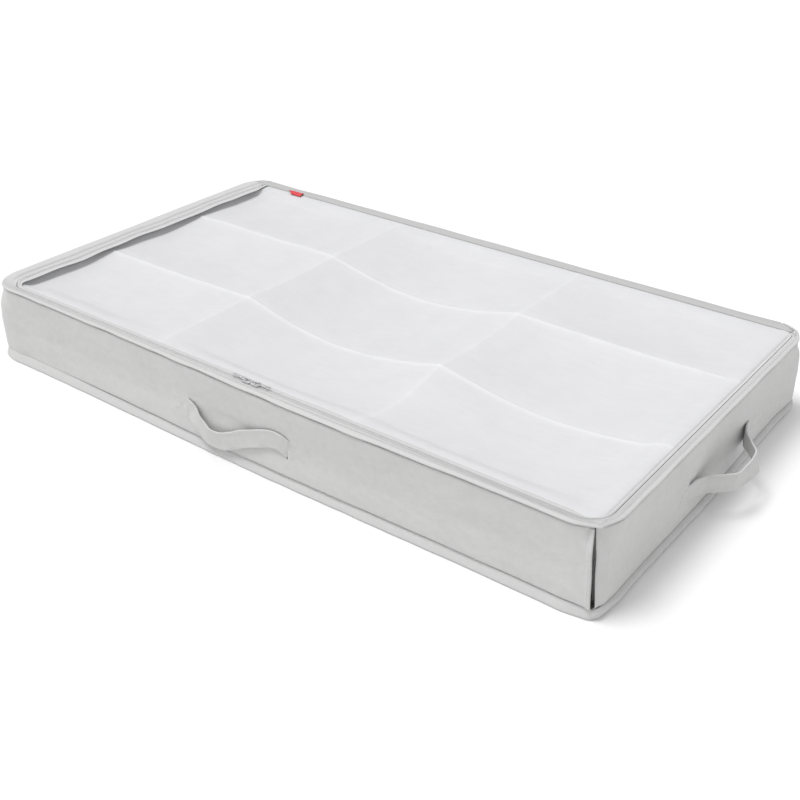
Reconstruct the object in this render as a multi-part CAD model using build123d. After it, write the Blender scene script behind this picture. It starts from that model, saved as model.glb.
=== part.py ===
import math
import os

from build123d import *

# Zipped fabric under-bed box. Millimetres. The origin is the centre of the footprint on the
# floor, +X runs along the length, +Y to the hinged back edge and +Z up.

# ---------------------------------------------------------------- driving dimensions
box_length = 1000.0
box_width = 560.0
wall_top = 113.8
wall_corner_radius = 12.0
corner_seam_gap = 1.2
corner_seam_reach = 6.0
corner_fold_width = 8.0
clearance = 0.3

# layers of the floor and the walls
fabric = 0.8
board = 2.5
tab_gap = 1.2

# sewn bindings round the rim and the base
flange = 6.5
flange_corner_radius = 30.0
seam_overlap = 1.0
rim_binding_height = 3.2
base_binding_height = 13.0
base_binding_edge = 2.5
base_binding_neck = 1.2
rim_binding_end = 8.0
hinge_binding_drop = 1.5
hinge_binding_height = 7.5

# lid sheet: it hangs between the walls and the divider tops
hinge_inset = 1.1
hinge_outset = 0.5
sheet_level = 114.5
sheet_thickness = 0.6
sheet_edge_inset = 10.5
hem_inset = 2.0
hem_width = 11.0
hem_corner_radius = 8.0
panel_sag = 12.0
# sag of the sheet over each divider, span by span: left to right, or front to back
sag_over_long = {"front": (3.0, 27.0, 22.0), "back": (1.0, 27.0, 2.0)}
sag_over_cross = {"left": (1.0, 3.0, 1.0), "right": (14.0, 6.0, 3.0)}
# share of each divider's sag that the sheet has lost in the middle of a compartment
long_sag_loss = 0.3
cross_sag_loss = 0.88
sag_free_border = 26.0
sag_fade_width = 24.0
long_steps = 5
cross_steps = 5

# zip chain: two coils on two tapes, side by side
zip_inset = 5.0
zip_corner_radius = 25.0
chain_gap = 0.8
coil_width = 2.1
coil_height = 2.2
tape_thickness = 0.6
tape_bottom = 115.4
upper_tape_width = 10.6
zip_end_y = 258.0
stop_length = 5.0

# grey band along the back of the lid, and the small tab sewn under it
band_thickness = 1.2
band_zip_gap = 4.0
label_left = -412.0
label_width = 28.0
label_reach = 8.0
label_thickness = 0.7

# sliders and pulls
slider_meeting_x = 12.0
slider_length = 13.7
slider_width = 9.0
plate_thickness = 1.1
plate_corner_radius = 3.0
under_plate_inset = 1.0
under_plate_gap = 0.4
post_half_width = 0.25
post_half_length = 2.5
arch_half_length = 4.2
arch_half_width = 0.8
arch_height = 3.4
arch_opening_half_length = 2.6
arch_opening_height = 2.3
pull_length = 24.0
pull_width = 6.4
pull_thickness = 1.2
pull_bar_radius = 0.6
pull_bar_height = 1.15
pull_arm_length = 8.5
pull_arm_width = 1.3
pull_corner_radius = 1.2

# dividers: two along the length and two across, at thirds of the box
divider_thickness = 2.0
divider_under_sheet = 2.0
slot_play = 0.6
slot_reach = 9.0

# strap handles
strap_width = 25.0
strap_thickness = 2.0
strap_reach = 37.0
handle_half_span = 85.0
handle_half_grip = 26.0
handle_height = 50.0
handle_axis_outset = 1.5
strap_taper_angle = 30.0
strap_start = 0.4
tab_length = 30.0
tab_play = 0.1
slit_width = 1.6
slit_play = 2.0
front_handle_x = -8.0
front_handle_droop = 20.0
side_handle_y = 15.0

# ---------------------------------------------------------------- derived levels and places
half_length = box_length / 2
half_width = box_width / 2
long_divider_y = box_width / 6
cross_divider_x = box_length / 6
floor_board_top = fabric + board
floor_top = floor_board_top + fabric
board_outset = -(fabric + tab_gap)
lining_outer = board_outset - board
lining_inner = lining_outer - fabric
coil_bottom = tape_bottom + tape_thickness
coil_top = coil_bottom + coil_height
lower_edge = -zip_inset + chain_gap / 2
upper_edge = -zip_inset - chain_gap / 2
zip_y = -half_width + zip_inset
hinge_y = half_width + hinge_outset


# ---------------------------------------------------------------- helpers
def slab(outset, radius, bottom, top):
    """Rounded plate that follows the footprint, grown by outset."""
    outline = RectangleRounded(box_length + 2 * outset, box_width + 2 * outset, radius)
    return Pos(0, 0, bottom) * extrude(outline, amount=top - bottom)


def ring(outer, outer_radius, inner, inner_radius, bottom, top):
    """Closed band between two rounded outlines."""
    core = slab(inner, inner_radius, bottom - 1, top + 1)
    return slab(outer, outer_radius, bottom, top) - core


def block(x0, x1, y0, y1, z0, z1):
    centre = Pos((x0 + x1) / 2, (y0 + y1) / 2, (z0 + z1) / 2)
    return centre * Box(x1 - x0, y1 - y0, z1 - z0)


def open_at_back(band, y):
    """Band without its stretch behind y."""
    far = box_length
    return band - block(-far, far, y, far, 0, 2 * wall_top)


def corner_radius(outset):
    """Corner radius of a line parallel to the zip."""
    return zip_corner_radius + zip_inset + outset


def save(node, shape):
    export_step(Compound(label=node, children=shape.solids()), f"parts/{node}.step")


# ---------------------------------------------------------------- lid sheet surface
def span_of(position, size):
    """Number of the compartment row, 0 to 2, and the place within it, 0 to 1."""
    place = min(max(3 * (position / size + 0.5), 0.0), 3.0)
    span = min(int(place), 2)
    return span, place - span


def border_fade(position, size):
    """0 along the sewn border, rising to 1 over the compartments."""
    inside = (size / 2 - abs(position) - sag_free_border) / sag_fade_width
    inside = min(max(inside, 0.0), 1.0)
    return inside * inside * (3 - 2 * inside)


def sheet_sag(x, y):
    """Depth of the sheet, blended between the four edges of a compartment."""
    column, u = span_of(x, box_length)
    row, v = span_of(y, box_width)
    level_edge = (0.0, 0.0, 0.0)
    long_lines = (level_edge, sag_over_long["front"], sag_over_long["back"], level_edge)
    cross_lines = (level_edge, sag_over_cross["left"], sag_over_cross["right"], level_edge)
    along = math.sin(math.pi * u)
    across = math.sin(math.pi * v)
    over_long = (1 - v) * long_lines[row][column] + v * long_lines[row + 1][column]
    over_cross = (1 - u) * cross_lines[column][row] + u * cross_lines[column + 1][row]
    over_long *= along * (1 - long_sag_loss * across)
    over_cross *= across * (1 - cross_sag_loss * along)
    sag = over_long + over_cross + panel_sag * along * across
    return sag * border_fade(x, box_length) * border_fade(y, box_width)


def sheet_underside(x, y):
    return sheet_level - sheet_sag(x, y)


def stations(size, steps):
    """Places from border to border of the sag, with the dividers among them."""
    edge = size / 2 - sag_free_border
    third = size / 6
    places = [-edge]
    for low, high in ((-edge, -third), (-third, third), (third, edge)):
        places += [low + (high - low) * (i + 1) / steps for i in range(steps)]
    return places


# ---------------------------------------------------------------- box body
def make_wall_cover():
    band = ring(0, wall_corner_radius, -fabric, wall_corner_radius - fabric, fabric, wall_top)
    for place in handle_places():
        for side in (-1, 1):
            slit = Box(slit_width, 4 * fabric, strap_width + slit_play)
            band -= place * Pos(side * handle_half_span, 0, 0) * slit
    seam_inset = wall_corner_radius * (1 - math.sqrt(0.5))
    seam = Pos(half_length - seam_inset, seam_inset - half_width, wall_top) * Rot(0, 0, 45)
    return band - seam * Box(corner_seam_gap, corner_seam_reach, 2 * wall_top)


def make_corner_fold():
    """Turned-in edge of the front panel, standing on it beside the corner seam."""
    right = half_length - wall_corner_radius
    left = right - corner_fold_width
    front = -half_width
    return block(left, right, front - fabric, front, base_binding_height, wall_top - seam_overlap)


def make_wall_boards():
    outer_x = half_length + board_outset
    outer_y = half_width + board_outset
    end_x = half_length - wall_corner_radius
    end_y = half_width - wall_corner_radius
    low = floor_board_top
    high = wall_top - seam_overlap
    return {
        "front_wall_board": block(-end_x, end_x, -outer_y, -outer_y + board, low, high),
        "back_wall_board": block(-end_x, end_x, outer_y - board, outer_y, low, high),
        "left_wall_board": block(-outer_x, -outer_x + board, -end_y, end_y, low, high),
        "right_wall_board": block(outer_x - board, outer_x, -end_y, end_y, low, high),
    }


def make_base_binding():
    low = slab(flange, flange_corner_radius, 0, base_binding_edge)
    wide = RectangleRounded(
        box_length + 2 * flange, box_width + 2 * flange, flange_corner_radius
    )
    narrow = RectangleRounded(
        box_length + 2 * base_binding_neck,
        box_width + 2 * base_binding_neck,
        wall_corner_radius + base_binding_neck,
    )
    slope = loft([Pos(0, 0, base_binding_edge) * wide, Pos(0, 0, base_binding_height) * narrow])
    return low + slope - slab(0, wall_corner_radius, -1, base_binding_height + 1)


def make_rim_binding():
    top = wall_top + rim_binding_height
    inner_radius = wall_corner_radius - seam_overlap
    band = ring(flange, flange_corner_radius, -seam_overlap, inner_radius, wall_top, top)
    return open_at_back(band, half_width - rim_binding_end)


def make_hinge_binding():
    """Binding of the back seam, hanging outside below the hinge line."""
    high = wall_top - hinge_binding_drop
    low = high - hinge_binding_height
    outline = ring(flange, flange_corner_radius, 0, wall_corner_radius, low, high)
    start = half_width - rim_binding_end
    return outline & block(-box_length, box_length, start, box_width, low, high)


def make_divider(size, steps, slots_at, slots_from_top, underside):
    """Upright panel in the XZ plane, with half-height slots where the others cross it."""
    half = size / 2 + lining_inner
    low = floor_top + clearance
    xs = [-half] + stations(size, steps) + [half]
    top = [(x, underside(x) - divider_under_sheet) for x in xs]
    outline = Polyline(*top, (half, low), (-half, low), close=True)
    panel = Rot(90, 0, 0) * extrude(make_face(outline), amount=divider_thickness / 2, both=True)
    middle = (low + wall_top) / 2
    slot = divider_thickness + slot_play
    slot_low, slot_high = (middle, 2 * wall_top) if slots_from_top else (0, middle)
    for x in slots_at:
        sides = (x - slot / 2, x + slot / 2, -slot_reach, slot_reach)
        panel -= block(*sides, slot_low, slot_high)
    return panel


def make_dividers():
    crossings_x = (-cross_divider_x, cross_divider_x)
    crossings_y = (-long_divider_y, long_divider_y)
    panels = {}
    for name, y in zip(("front", "back"), crossings_y):
        underside = lambda x: sheet_underside(x, y)
        panel = make_divider(box_length, long_steps, crossings_x, True, underside)
        panels[f"divider_long_{name}"] = Pos(0, y, 0) * panel
    for name, x in zip(("left", "right"), crossings_x):
        underside = lambda y: sheet_underside(x, y)
        panel = make_divider(box_width, cross_steps, crossings_y, False, underside)
        panels[f"divider_cross_{name}"] = Pos(x, 0, 0) * Rot(0, 0, 90) * panel
    return panels


# ---------------------------------------------------------------- zip on the box side
def make_lower_tape():
    outer_radius = wall_corner_radius - seam_overlap
    inner_radius = corner_radius(lower_edge)
    outline = (-seam_overlap, outer_radius, lower_edge, inner_radius)
    return open_at_back(ring(*outline, tape_bottom, coil_bottom), zip_end_y)


def make_coil(outer):
    """One half of the coil chain; outer is the outset of its outer edge."""
    inner = outer - coil_width
    band = ring(outer, corner_radius(outer), inner, corner_radius(inner), coil_bottom, coil_top)
    return open_at_back(band, zip_end_y - stop_length)


def make_end_stops():
    outer = lower_edge + coil_width
    sides = (half_length + lower_edge, half_length + outer)
    start = zip_end_y - stop_length
    stop = block(*sides, start, zip_end_y, coil_bottom, coil_top + fabric)
    return stop + mirror(stop, about=Plane.YZ)


# ---------------------------------------------------------------- lid
def make_sagging_field():
    """Closed sheet of flat triangles between the sag-free borders."""
    xs = stations(box_length, long_steps)
    ys = stations(box_width, cross_steps)
    under = [[Vector(x, y, sheet_underside(x, y)) for y in ys] for x in xs]
    up = Vector(0, 0, sheet_thickness)
    faces = []
    for i in range(len(xs) - 1):
        for j in range(len(ys) - 1):
            a, b, c, d = under[i][j], under[i + 1][j], under[i + 1][j + 1], under[i][j + 1]
            for corners in ((a, b, c), (a, c, d)):
                faces.append(Face(Wire.make_polygon(corners)))
                faces.append(Face(Wire.make_polygon([p + up for p in corners])))
    sides = [[row[0] for row in under], [row[-1] for row in under], under[0], under[-1]]
    for side in sides:
        for p, q in zip(side, side[1:]):
            faces.append(Face(Wire.make_polygon([p, q, q + up, p + up])))
    return Solid(Shell(faces))


def make_lid_sheet():
    inset = -sheet_edge_inset
    top = sheet_level + sheet_thickness
    frame = slab(inset, corner_radius(inset), sheet_level, top)
    side_x = half_length - sheet_edge_inset
    frame += block(-side_x, side_x, 0, hinge_y - hinge_inset, sheet_level, top)
    edge_x = half_length - sag_free_border
    edge_y = half_width - sag_free_border
    frame -= block(-edge_x, edge_x, -edge_y, edge_y, sheet_level - 1, top + 1)
    return frame + make_sagging_field()


def make_lid_hem():
    outer = -sheet_edge_inset - hem_inset
    inner = outer - hem_width
    bottom = sheet_level - tape_thickness
    band = ring(outer, corner_radius(outer), inner, hem_corner_radius, bottom, sheet_level)
    return open_at_back(band, zip_end_y)


def make_upper_tape():
    inner = upper_edge - upper_tape_width
    outline = (upper_edge, corner_radius(upper_edge), inner, corner_radius(inner))
    return open_at_back(ring(*outline, tape_bottom, coil_bottom), zip_end_y)


def make_back_band():
    low = sheet_level + sheet_thickness + clearance
    end_x = half_length - zip_inset - band_zip_gap
    start = zip_end_y + band_zip_gap
    return block(-end_x, end_x, start, hinge_y - hinge_inset, low, low + band_thickness)


def make_label_tab():
    low = sheet_level + sheet_thickness + clearance
    right = label_left + label_width
    front = zip_end_y - label_reach
    back = zip_end_y + band_zip_gap
    return block(label_left, right, front, back, low, low + label_thickness)


# ---------------------------------------------------------------- sliders and pulls
def make_slider(left_end):
    right_end = left_end + slider_length
    middle = (left_end + right_end) / 2
    plate_low = coil_top + clearance
    plate_high = plate_low + plate_thickness
    half = slider_width / 2
    top_plate = block(left_end, right_end, zip_y - half, zip_y + half, plate_low, plate_high)
    top_plate = fillet(top_plate.edges().filter_by(Axis.Z), plate_corner_radius)

    under_low = wall_top + under_plate_gap
    under_high = tape_bottom - clearance
    under_x = (left_end + under_plate_inset, right_end - under_plate_inset)
    under_y = (zip_y - post_half_width, zip_y + half)
    under_plate = block(*under_x, *under_y, under_low, under_high)

    post_x = (middle - post_half_length, middle + post_half_length)
    post_y = (zip_y - post_half_width, zip_y + post_half_width)
    post = block(*post_x, *post_y, under_low, plate_low)

    arch_x = (middle - arch_half_length, middle + arch_half_length)
    arch_y = (zip_y - arch_half_width, zip_y + arch_half_width)
    arch = block(*arch_x, *arch_y, plate_high, plate_high + arch_height)
    opening_x = (middle - arch_opening_half_length, middle + arch_opening_half_length)
    opening_y = (zip_y - half, zip_y + half)
    arch -= block(*opening_x, *opening_y, plate_high, plate_high + arch_opening_height)
    return top_plate + under_plate + post + arch


def make_pull(middle, direction):
    """Pull that lies along the zip, away from the other slider."""
    z = coil_top + clearance + plate_thickness + pull_bar_height
    half = pull_width / 2
    levels = (z - pull_thickness / 2, z + pull_thickness / 2)
    arm_end = middle + direction * pull_arm_length
    tip = middle + direction * pull_length
    arm_x = sorted((middle, arm_end))
    plate_x = sorted((arm_end, tip))
    pull = Pos(middle, zip_y, z) * Rot(90, 0, 0) * Cylinder(pull_bar_radius, pull_width)
    for side in (-1, 1):
        arm_y = sorted((zip_y + side * half, zip_y + side * (half - pull_arm_width)))
        pull += block(*arm_x, *arm_y, *levels)
    plate = block(*plate_x, zip_y - half, zip_y + half, *levels)
    return pull + fillet(plate.edges().filter_by(Axis.Z), pull_corner_radius)


# ---------------------------------------------------------------- handles
def handle_places():
    """Frames of the three handles: local X along the wall, local Y outward, local Z up."""
    front = Pos(front_handle_x, -half_width, handle_height) * Rot(0, 0, 180)
    left = Pos(-half_length, side_handle_y, handle_height) * Rot(0, 0, 90)
    right = Pos(half_length, side_handle_y, handle_height) * Rot(0, 0, -90)
    return (front, left, right)


def make_strap(droop):
    """Bowed strap; its ends narrow towards the swing axis, so that it turns clear of the wall."""
    path = Polyline(
        (-handle_half_span, strap_start),
        (-handle_half_grip, strap_reach),
        (handle_half_grip, strap_reach),
        (handle_half_span, strap_start),
    )
    band = offset(path, amount=strap_thickness / 2, side=Side.BOTH, closed=True)
    half = strap_width / 2
    strap = extrude(make_face(band), amount=half, both=True)
    full = half / math.tan(math.radians(strap_taper_angle))
    far = 2 * strap_reach
    profile = Polyline((0, 0), (full, half), (far, half), (far, -half), (full, -half), (0, 0))
    wedge = extrude(Plane.YZ * make_face(profile), amount=2 * handle_half_span, both=True)
    return Pos(0, handle_axis_outset, 0) * Rot(-droop, 0, 0) * (strap & wedge)


def make_tabs():
    """Two strap ends sewn flat behind the wall cover."""
    tabs = []
    for side in (-1, 1):
        centre = Pos(side * (handle_half_span + tab_length / 2), -fabric - tab_gap / 2, 0)
        tabs.append(centre * Box(tab_length, tab_gap - tab_play, strap_width))
    return Compound(children=tabs)


# ---------------------------------------------------------------- all parts
os.makedirs("parts", exist_ok=True)

save("bottom_cover", slab(0, wall_corner_radius, 0, fabric))
board_radius = wall_corner_radius + board_outset
lining_radius = wall_corner_radius + lining_outer
lining_inner_radius = wall_corner_radius + lining_inner
lining_outline = (lining_outer, lining_radius, lining_inner, lining_inner_radius)
save("bottom_board", slab(board_outset, board_radius, fabric, floor_board_top))
save("bottom_lining", slab(lining_outer, lining_radius, floor_board_top, floor_top))
save("wall_cover", make_wall_cover())
for node, shape in make_wall_boards().items():
    save(node, shape)
save("wall_lining", ring(*lining_outline, floor_top, wall_top))
save("bottom_binding", make_base_binding())
save("rim_binding", make_rim_binding())
save("hinge_binding", make_hinge_binding())
save("corner_fold", make_corner_fold())
for node, shape in make_dividers().items():
    save(node, shape)

save("zip_tape_lower", make_lower_tape())
save("zip_coil_lower", make_coil(lower_edge + coil_width))
save("zip_end_stops", make_end_stops())

save("lid_sheet", make_lid_sheet())
save("lid_hem", make_lid_hem())
save("zip_tape_upper", make_upper_tape())
save("zip_coil_upper", make_coil(upper_edge))
save("lid_back_band", make_back_band())
save("label_tab", make_label_tab())

left_slider_x = slider_meeting_x - clearance - slider_length
right_slider_x = slider_meeting_x + clearance
save("slider_left", make_slider(left_slider_x))
save("slider_right", make_slider(right_slider_x))
save("pull_left", make_pull(left_slider_x + slider_length / 2, -1))
save("pull_right", make_pull(right_slider_x + slider_length / 2, 1))

handle_names = ("front", "left", "right")
handle_droops = (front_handle_droop, 0.0, 0.0)
for name, droop, place in zip(handle_names, handle_droops, handle_places()):
    save(f"{name}_handle", place * make_strap(droop))
    save(f"{name}_handle_tabs", place * make_tabs())
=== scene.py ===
import itertools
import math
import random

import bmesh
import bpy
import numpy as np
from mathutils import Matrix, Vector


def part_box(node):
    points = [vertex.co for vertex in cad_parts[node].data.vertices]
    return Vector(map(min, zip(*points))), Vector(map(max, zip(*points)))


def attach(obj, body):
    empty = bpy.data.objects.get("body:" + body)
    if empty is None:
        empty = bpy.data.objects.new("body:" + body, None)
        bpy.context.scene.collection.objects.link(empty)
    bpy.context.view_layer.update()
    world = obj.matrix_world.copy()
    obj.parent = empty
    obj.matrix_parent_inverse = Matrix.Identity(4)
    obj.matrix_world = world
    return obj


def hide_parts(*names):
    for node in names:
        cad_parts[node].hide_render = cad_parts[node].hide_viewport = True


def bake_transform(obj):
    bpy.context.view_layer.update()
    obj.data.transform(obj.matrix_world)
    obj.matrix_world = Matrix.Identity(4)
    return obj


# Zipped fabric under-bed box. Lengths are millimetres until a mesh is made. The front looks
# toward -y; x runs along the front, and the box stands on z = 0.
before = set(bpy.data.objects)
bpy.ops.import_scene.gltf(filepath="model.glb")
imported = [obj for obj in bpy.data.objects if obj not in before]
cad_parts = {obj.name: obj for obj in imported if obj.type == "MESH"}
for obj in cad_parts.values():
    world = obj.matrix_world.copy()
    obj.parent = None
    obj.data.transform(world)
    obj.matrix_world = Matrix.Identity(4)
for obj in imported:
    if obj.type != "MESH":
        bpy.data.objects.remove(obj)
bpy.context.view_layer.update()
MM = 0.001


# ------------------------ sizes, from the frame
def extent(node):
    """Lowest and highest corner of a CAD node, in millimetres."""
    low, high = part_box(node)
    return np.array(low) / MM, np.array(high) / MM


HALF_X, HALF_Y, WALL_TOP = extent("wall_cover")[1]
FLANGE = extent("rim_binding")[1][0] - HALF_X
RIM_TOP, BASE_TOP, TAPE_HIGH, COIL_TOP, SHEET_LEVEL, FLOOR_TOP = [
    extent(node)[1][2] for node in ("rim_binding", "bottom_binding", "zip_tape_upper",
                                    "zip_coil_upper", "lid_hem", "bottom_lining")]
COIL_END = extent("zip_coil_upper")[1][1]
SHEET_X = extent("lid_sheet")[1][0]
SHEET_FRONT, SHEET_BACK = extent("lid_sheet")[0][1], extent("lid_sheet")[1][1]
DIVIDER_X = HALF_X / 3
DIVIDER_Y = HALF_Y / 3

# places of the strap slits along the front and the sides, and the heights of their ends
FRONT_SLITS = (-93.0, 77.0)
SIDE_SLITS = (-70.0, 100.0)
SLIT_LOW, SLIT_HIGH = 37.5, 62.5

# the sides in the order of all tracks, and the radii of the corners after each
SIDES = ("left", "front", "right", "back")
WALL_RADII = (18.0, 9.0, 15.0, 18.0)
ZIP_RADII = (30.0, 30.0, 30.0, 30.0)
LINING_RADII = (34.0, 34.0, 34.0, 34.0)
CORNER_STEPS = 12
TRACK_STEP = 5.0

# how the rim's corners are drawn in, and how its front bows out
CORNER_DRAW = 7.5
CORNER_REACH = 36.0
FRONT_PEAK = 120.0
FLANGE_BOW = 6.0
RIM_INNER, RIM_OUTER = 0.8, FLANGE + 0.5

# the zip's distance inside the walls, its extra inset on the left, and the seam at its back end
ZIP_INSET = 5.0
LEFT_SHIFT = 22.0
BACK_SEAM = HALF_Y - 16.3


# ------------------------ numbers and curves
def smooth(t):
    """0 below 0, 1 above 1 and an even curve between."""
    t = np.clip(t, 0.0, 1.0)
    return t * t * (3 - 2 * t)


def window(value, low, high, fade):
    """1 between low and high, fading to 0 at both."""
    return smooth((value - low) / fade) * smooth((high - value) / fade)


def bell(distance, width):
    """1 at no distance, fading out over a few widths."""
    return np.exp(-(distance / width) ** 2)


def around(count):
    """Angles that share out a full turn."""
    return np.linspace(0, math.tau, count, endpoint=False)


def ripples(a, b, wavelength, seed):
    """Smooth irregular field of about -1 to 1 over two coordinates."""
    draw = random.Random(seed)
    total = 0.0
    for _ in range(7):
        angle = draw.uniform(0, math.tau)
        length = wavelength * draw.uniform(0.6, 1.8)
        phase = draw.uniform(0, math.tau)
        along = a * math.cos(angle) + b * math.sin(angle)
        total = total + np.sin(along * math.tau / length + phase)
    return total / 3.7


def near_corner(x, y, span=45.0):
    """1 in the four corners of the box, fading to 0 along its sides."""
    return smooth(1 - (abs(HALF_X - abs(x)) + abs(HALF_Y - abs(y))) / span)


def corner_draw(x, y):
    """How far the rim's corners are drawn in, which gives them a wider curve than the walls."""
    away = abs(HALF_X - abs(x)) + abs(HALF_Y - abs(y))
    return CORNER_DRAW * np.clip((CORNER_REACH - away) / (CORNER_REACH - 10.5), 0, 1) ** 1.6


def corner_shift(x, y, z):
    """The walls' corners stand out at half height and follow the rim at the top."""
    stand_out = np.interp(z, (0, 20, 60, 95, 112), (2.5, 4.0, 5.0, 1.5, 0.0))
    stand_out = stand_out * near_corner(x, y, 75)
    stand_out = stand_out * np.where((x > 0) & (y < 0), 0.4, 1.0)
    return stand_out - corner_draw(x, y) * smooth((z - 80) / 34)


def front_bow(x):
    """Share of the front border's outward bow, 1 at its peak."""
    return bell(x - FRONT_PEAK, np.where(x < FRONT_PEAK, 260.0, 190.0))


def catmull(points, per_span):
    """Smooth line through points, with per_span steps between each two."""
    p = np.array(points, float)
    p = np.vstack([2 * p[0] - p[1], p, 2 * p[-1] - p[-2]])
    out = []
    for i in range(1, len(p) - 2):
        for k in range(per_span):
            t = k / per_span
            a, b, c, d = p[i - 1], p[i], p[i + 1], p[i + 2]
            out.append(0.5 * (2 * b + (c - a) * t + (2 * a - 5 * b + 4 * c - d) * t**2
                              + (3 * b - a - 3 * c + d) * t**3))
    out.append(p[-2])
    return np.array(out)


def run_of(line):
    """Distance of each point along a line."""
    return np.concatenate([[0.0], np.cumsum(np.linalg.norm(np.diff(line, axis=0), axis=1))])


def at_places(line, run, places):
    """Points of a line at the given distances along it."""
    return np.column_stack([np.interp(places, run, column) for column in line.T])


def resample(line, step):
    """The line with points at about the given step."""
    run = run_of(line)
    count = max(2, int(round(run[-1] / step)) + 1)
    return at_places(line, run, np.linspace(0, run[-1], count))


def closed(line):
    """The line with its first point repeated at the end."""
    return np.vstack([line, line[:1]])


def unit(v):
    """Vectors brought to a length of 1."""
    return v / np.maximum(np.linalg.norm(v, axis=-1, keepdims=True), 1e-9)


# ------------------------ tracks round the box
def track(radii, step, open_y=None, first="left", marks=None):
    """Stations round the walls, seen from above: points and outward normals.

    The sides follow each other as left, front, right and back; radii are those of the
    corners after each. Stations are closer together beside the marks on a side.
    """
    corners = np.array([(-1, 1), (-1, -1), (1, -1), (1, 1)]) * (HALF_X, HALF_Y)
    order = [(SIDES.index(first) + k) % 4 for k in range(4)]
    if open_y is not None:
        order.remove(SIDES.index("back"))
    seamed = open_y is not None or first != "left"
    points, normals = [], []
    for side in order:
        axis = 1 - side % 2
        start, end = corners[side], corners[(side + 1) % 4]
        nominal = abs(end - start).max()
        along = (end - start) / nominal
        out = np.array([along[1], -along[0]])
        start, end = start + along * radii[side - 1], end - along * radii[side]
        if open_y is not None and axis == 1:
            (start if side == 0 else end)[1] = open_y
        places = list(np.linspace(0, np.linalg.norm(end - start), int(round(nominal / step)) + 1))
        for mark in (marks or {}).get(SIDES[side], ()):
            at = abs(mark - start[axis])
            places = [p for p in places if abs(p - at) > 2.2]
            places += [at - 2.0, at - 0.3, at + 0.3, at + 2.0]
        points += [start + along * place for place in sorted(places)]
        normals += [out] * len(places)
        if not (seamed and side == order[-1]):
            centre = end - out * radii[side]
            for angle in np.linspace(0, math.pi / 2, CORNER_STEPS + 1)[1:-1]:
                normal = out * math.cos(angle) + along * math.sin(angle)
                points.append(centre + normal * radii[side])
                normals.append(normal)
    return np.array(points), np.array(normals)


def rows_along(base, section, pinch=0.0):
    """Grid of points with one row for each (outset, height) of a section.

    pinch is how much of an outward reach is lost in the corners.
    """
    points, normals = base
    keep = 1 - pinch * near_corner(points[:, 0], points[:, 1])
    rows = []
    for outset, height in section:
        outset = np.broadcast_to(outset, len(points)).astype(float)
        outset = np.where(outset > 0, outset * keep, outset)
        height = np.broadcast_to(height, len(points))
        rows.append(np.column_stack([points + normals * outset[:, None], height]))
    return np.array(rows)


def flat_section(inner, outer, low, high, dome=0.0, steps=6):
    """Closed section of a folded tape: flat, with round edges and a slightly domed top."""
    radius = (high - low) / 2
    middle = (high + low) / 2
    flat = outer - inner - 2 * radius

    def edge(centre, angles):
        turns = [math.radians(angle) for angle in angles]
        return [(centre + radius * math.cos(a), middle + radius * math.sin(a)) for a in turns]

    shares = np.linspace(0, 1, steps)
    top = [(inner + radius + flat * t, high + dome * math.sin(math.pi * t)) for t in shares]
    under = [(inner + radius + flat * t, low) for t in shares[::-1]]
    return (top + edge(outer - radius, (60, 20, -20, -60))
            + under + edge(inner + radius, (-120, -160, 160, 120)))


def rim_track():
    """Line of the rim from the left end of the back seam round the front to its right end."""
    points, normals = track(WALL_RADII, TRACK_STEP)
    points = points - normals * corner_draw(*points.T)[:, None]
    seam = (normals[:, 1] > 0.99) & (abs(points[:, 0]) < HALF_X - 32)
    after = int(np.flatnonzero(seam)[-1]) + 1
    keep = np.roll(~seam, -after)
    return np.roll(points, -after, axis=0)[keep], np.roll(normals, -after, axis=0)[keep]


def open_track(radii, end, draw_share=1.0):
    """Line open at the back, drawn in at the corners by a share of the rim's draw."""
    points, normals = track(radii, TRACK_STEP, open_y=end)
    drawn = draw_share * corner_draw(*points.T)
    return points - normals * drawn[:, None], normals


def zip_track(end):
    """Line of the zip."""
    return open_track(ZIP_RADII, end, 0.6)


def zip_wander(grid):
    """The left run of the zip is sewn further in and wavers; the shift fades out over the sheet."""
    x, y = grid[..., 0], grid[..., 1]
    outer = smooth((x + HALF_X) / 5)
    inner = 1 - smooth((x + HALF_X - 25) / 90)
    wave = 1.6 * np.sin(y / 31) + 0.8 * np.sin(y / 13 + 1)
    moved = grid.copy()
    moved[..., 0] = x + outer * inner * (LEFT_SHIFT + wave)
    return moved


def base_bow(x, y, z):
    """Outward bow of the lower wall and the base binding, on the front and the right."""
    front = 3.6 + 4.6 * bell(x - 20, 220) - 1.2 * x / HALF_X
    right = 2.0 + 1.6 * bell(y + 30, 90) - 2.0 * smooth((y - 30) / 210)
    front = front * smooth((-y - HALF_Y + 16) / 14)
    right = right * smooth((x - HALF_X + 16) / 14)
    return np.maximum(front, right) * smooth(1 - z / 62) * (1 - near_corner(x, y, 42))


def bowed(grid, base):
    """Grid pushed outward by the bow of the base."""
    points, normals = base
    moved = grid.copy()
    push = base_bow(points[:, 0][None, :], points[:, 1][None, :], grid[..., 2])
    moved[..., :2] += normals[None, :, :] * push[..., None]
    return moved


# ------------------------ meshes
def linked(name, data):
    """A new object in the scene."""
    made = bpy.data.objects.new(name, data)
    bpy.context.scene.collection.objects.link(made)
    return made


def add_object(name, mesh, material, slot, body, replaces=()):
    """Adds a smooth-shaded piece of one material; a body of None leaves it to a blend."""
    piece = linked(name, mesh)
    mesh.materials.append(material)
    mesh.shade_smooth()
    if body:
        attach(piece, body)
    if replaces:
        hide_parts(*replaces)
    return piece


def opened(mesh):
    """A bmesh copy of a mesh."""
    work = bmesh.new()
    work.from_mesh(mesh)
    return work


def written(work, mesh):
    """Puts a bmesh into a mesh, with its normals outward, and frees it."""
    bmesh.ops.recalc_face_normals(work, faces=work.faces)
    work.to_mesh(mesh)
    work.free()
    return mesh


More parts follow.
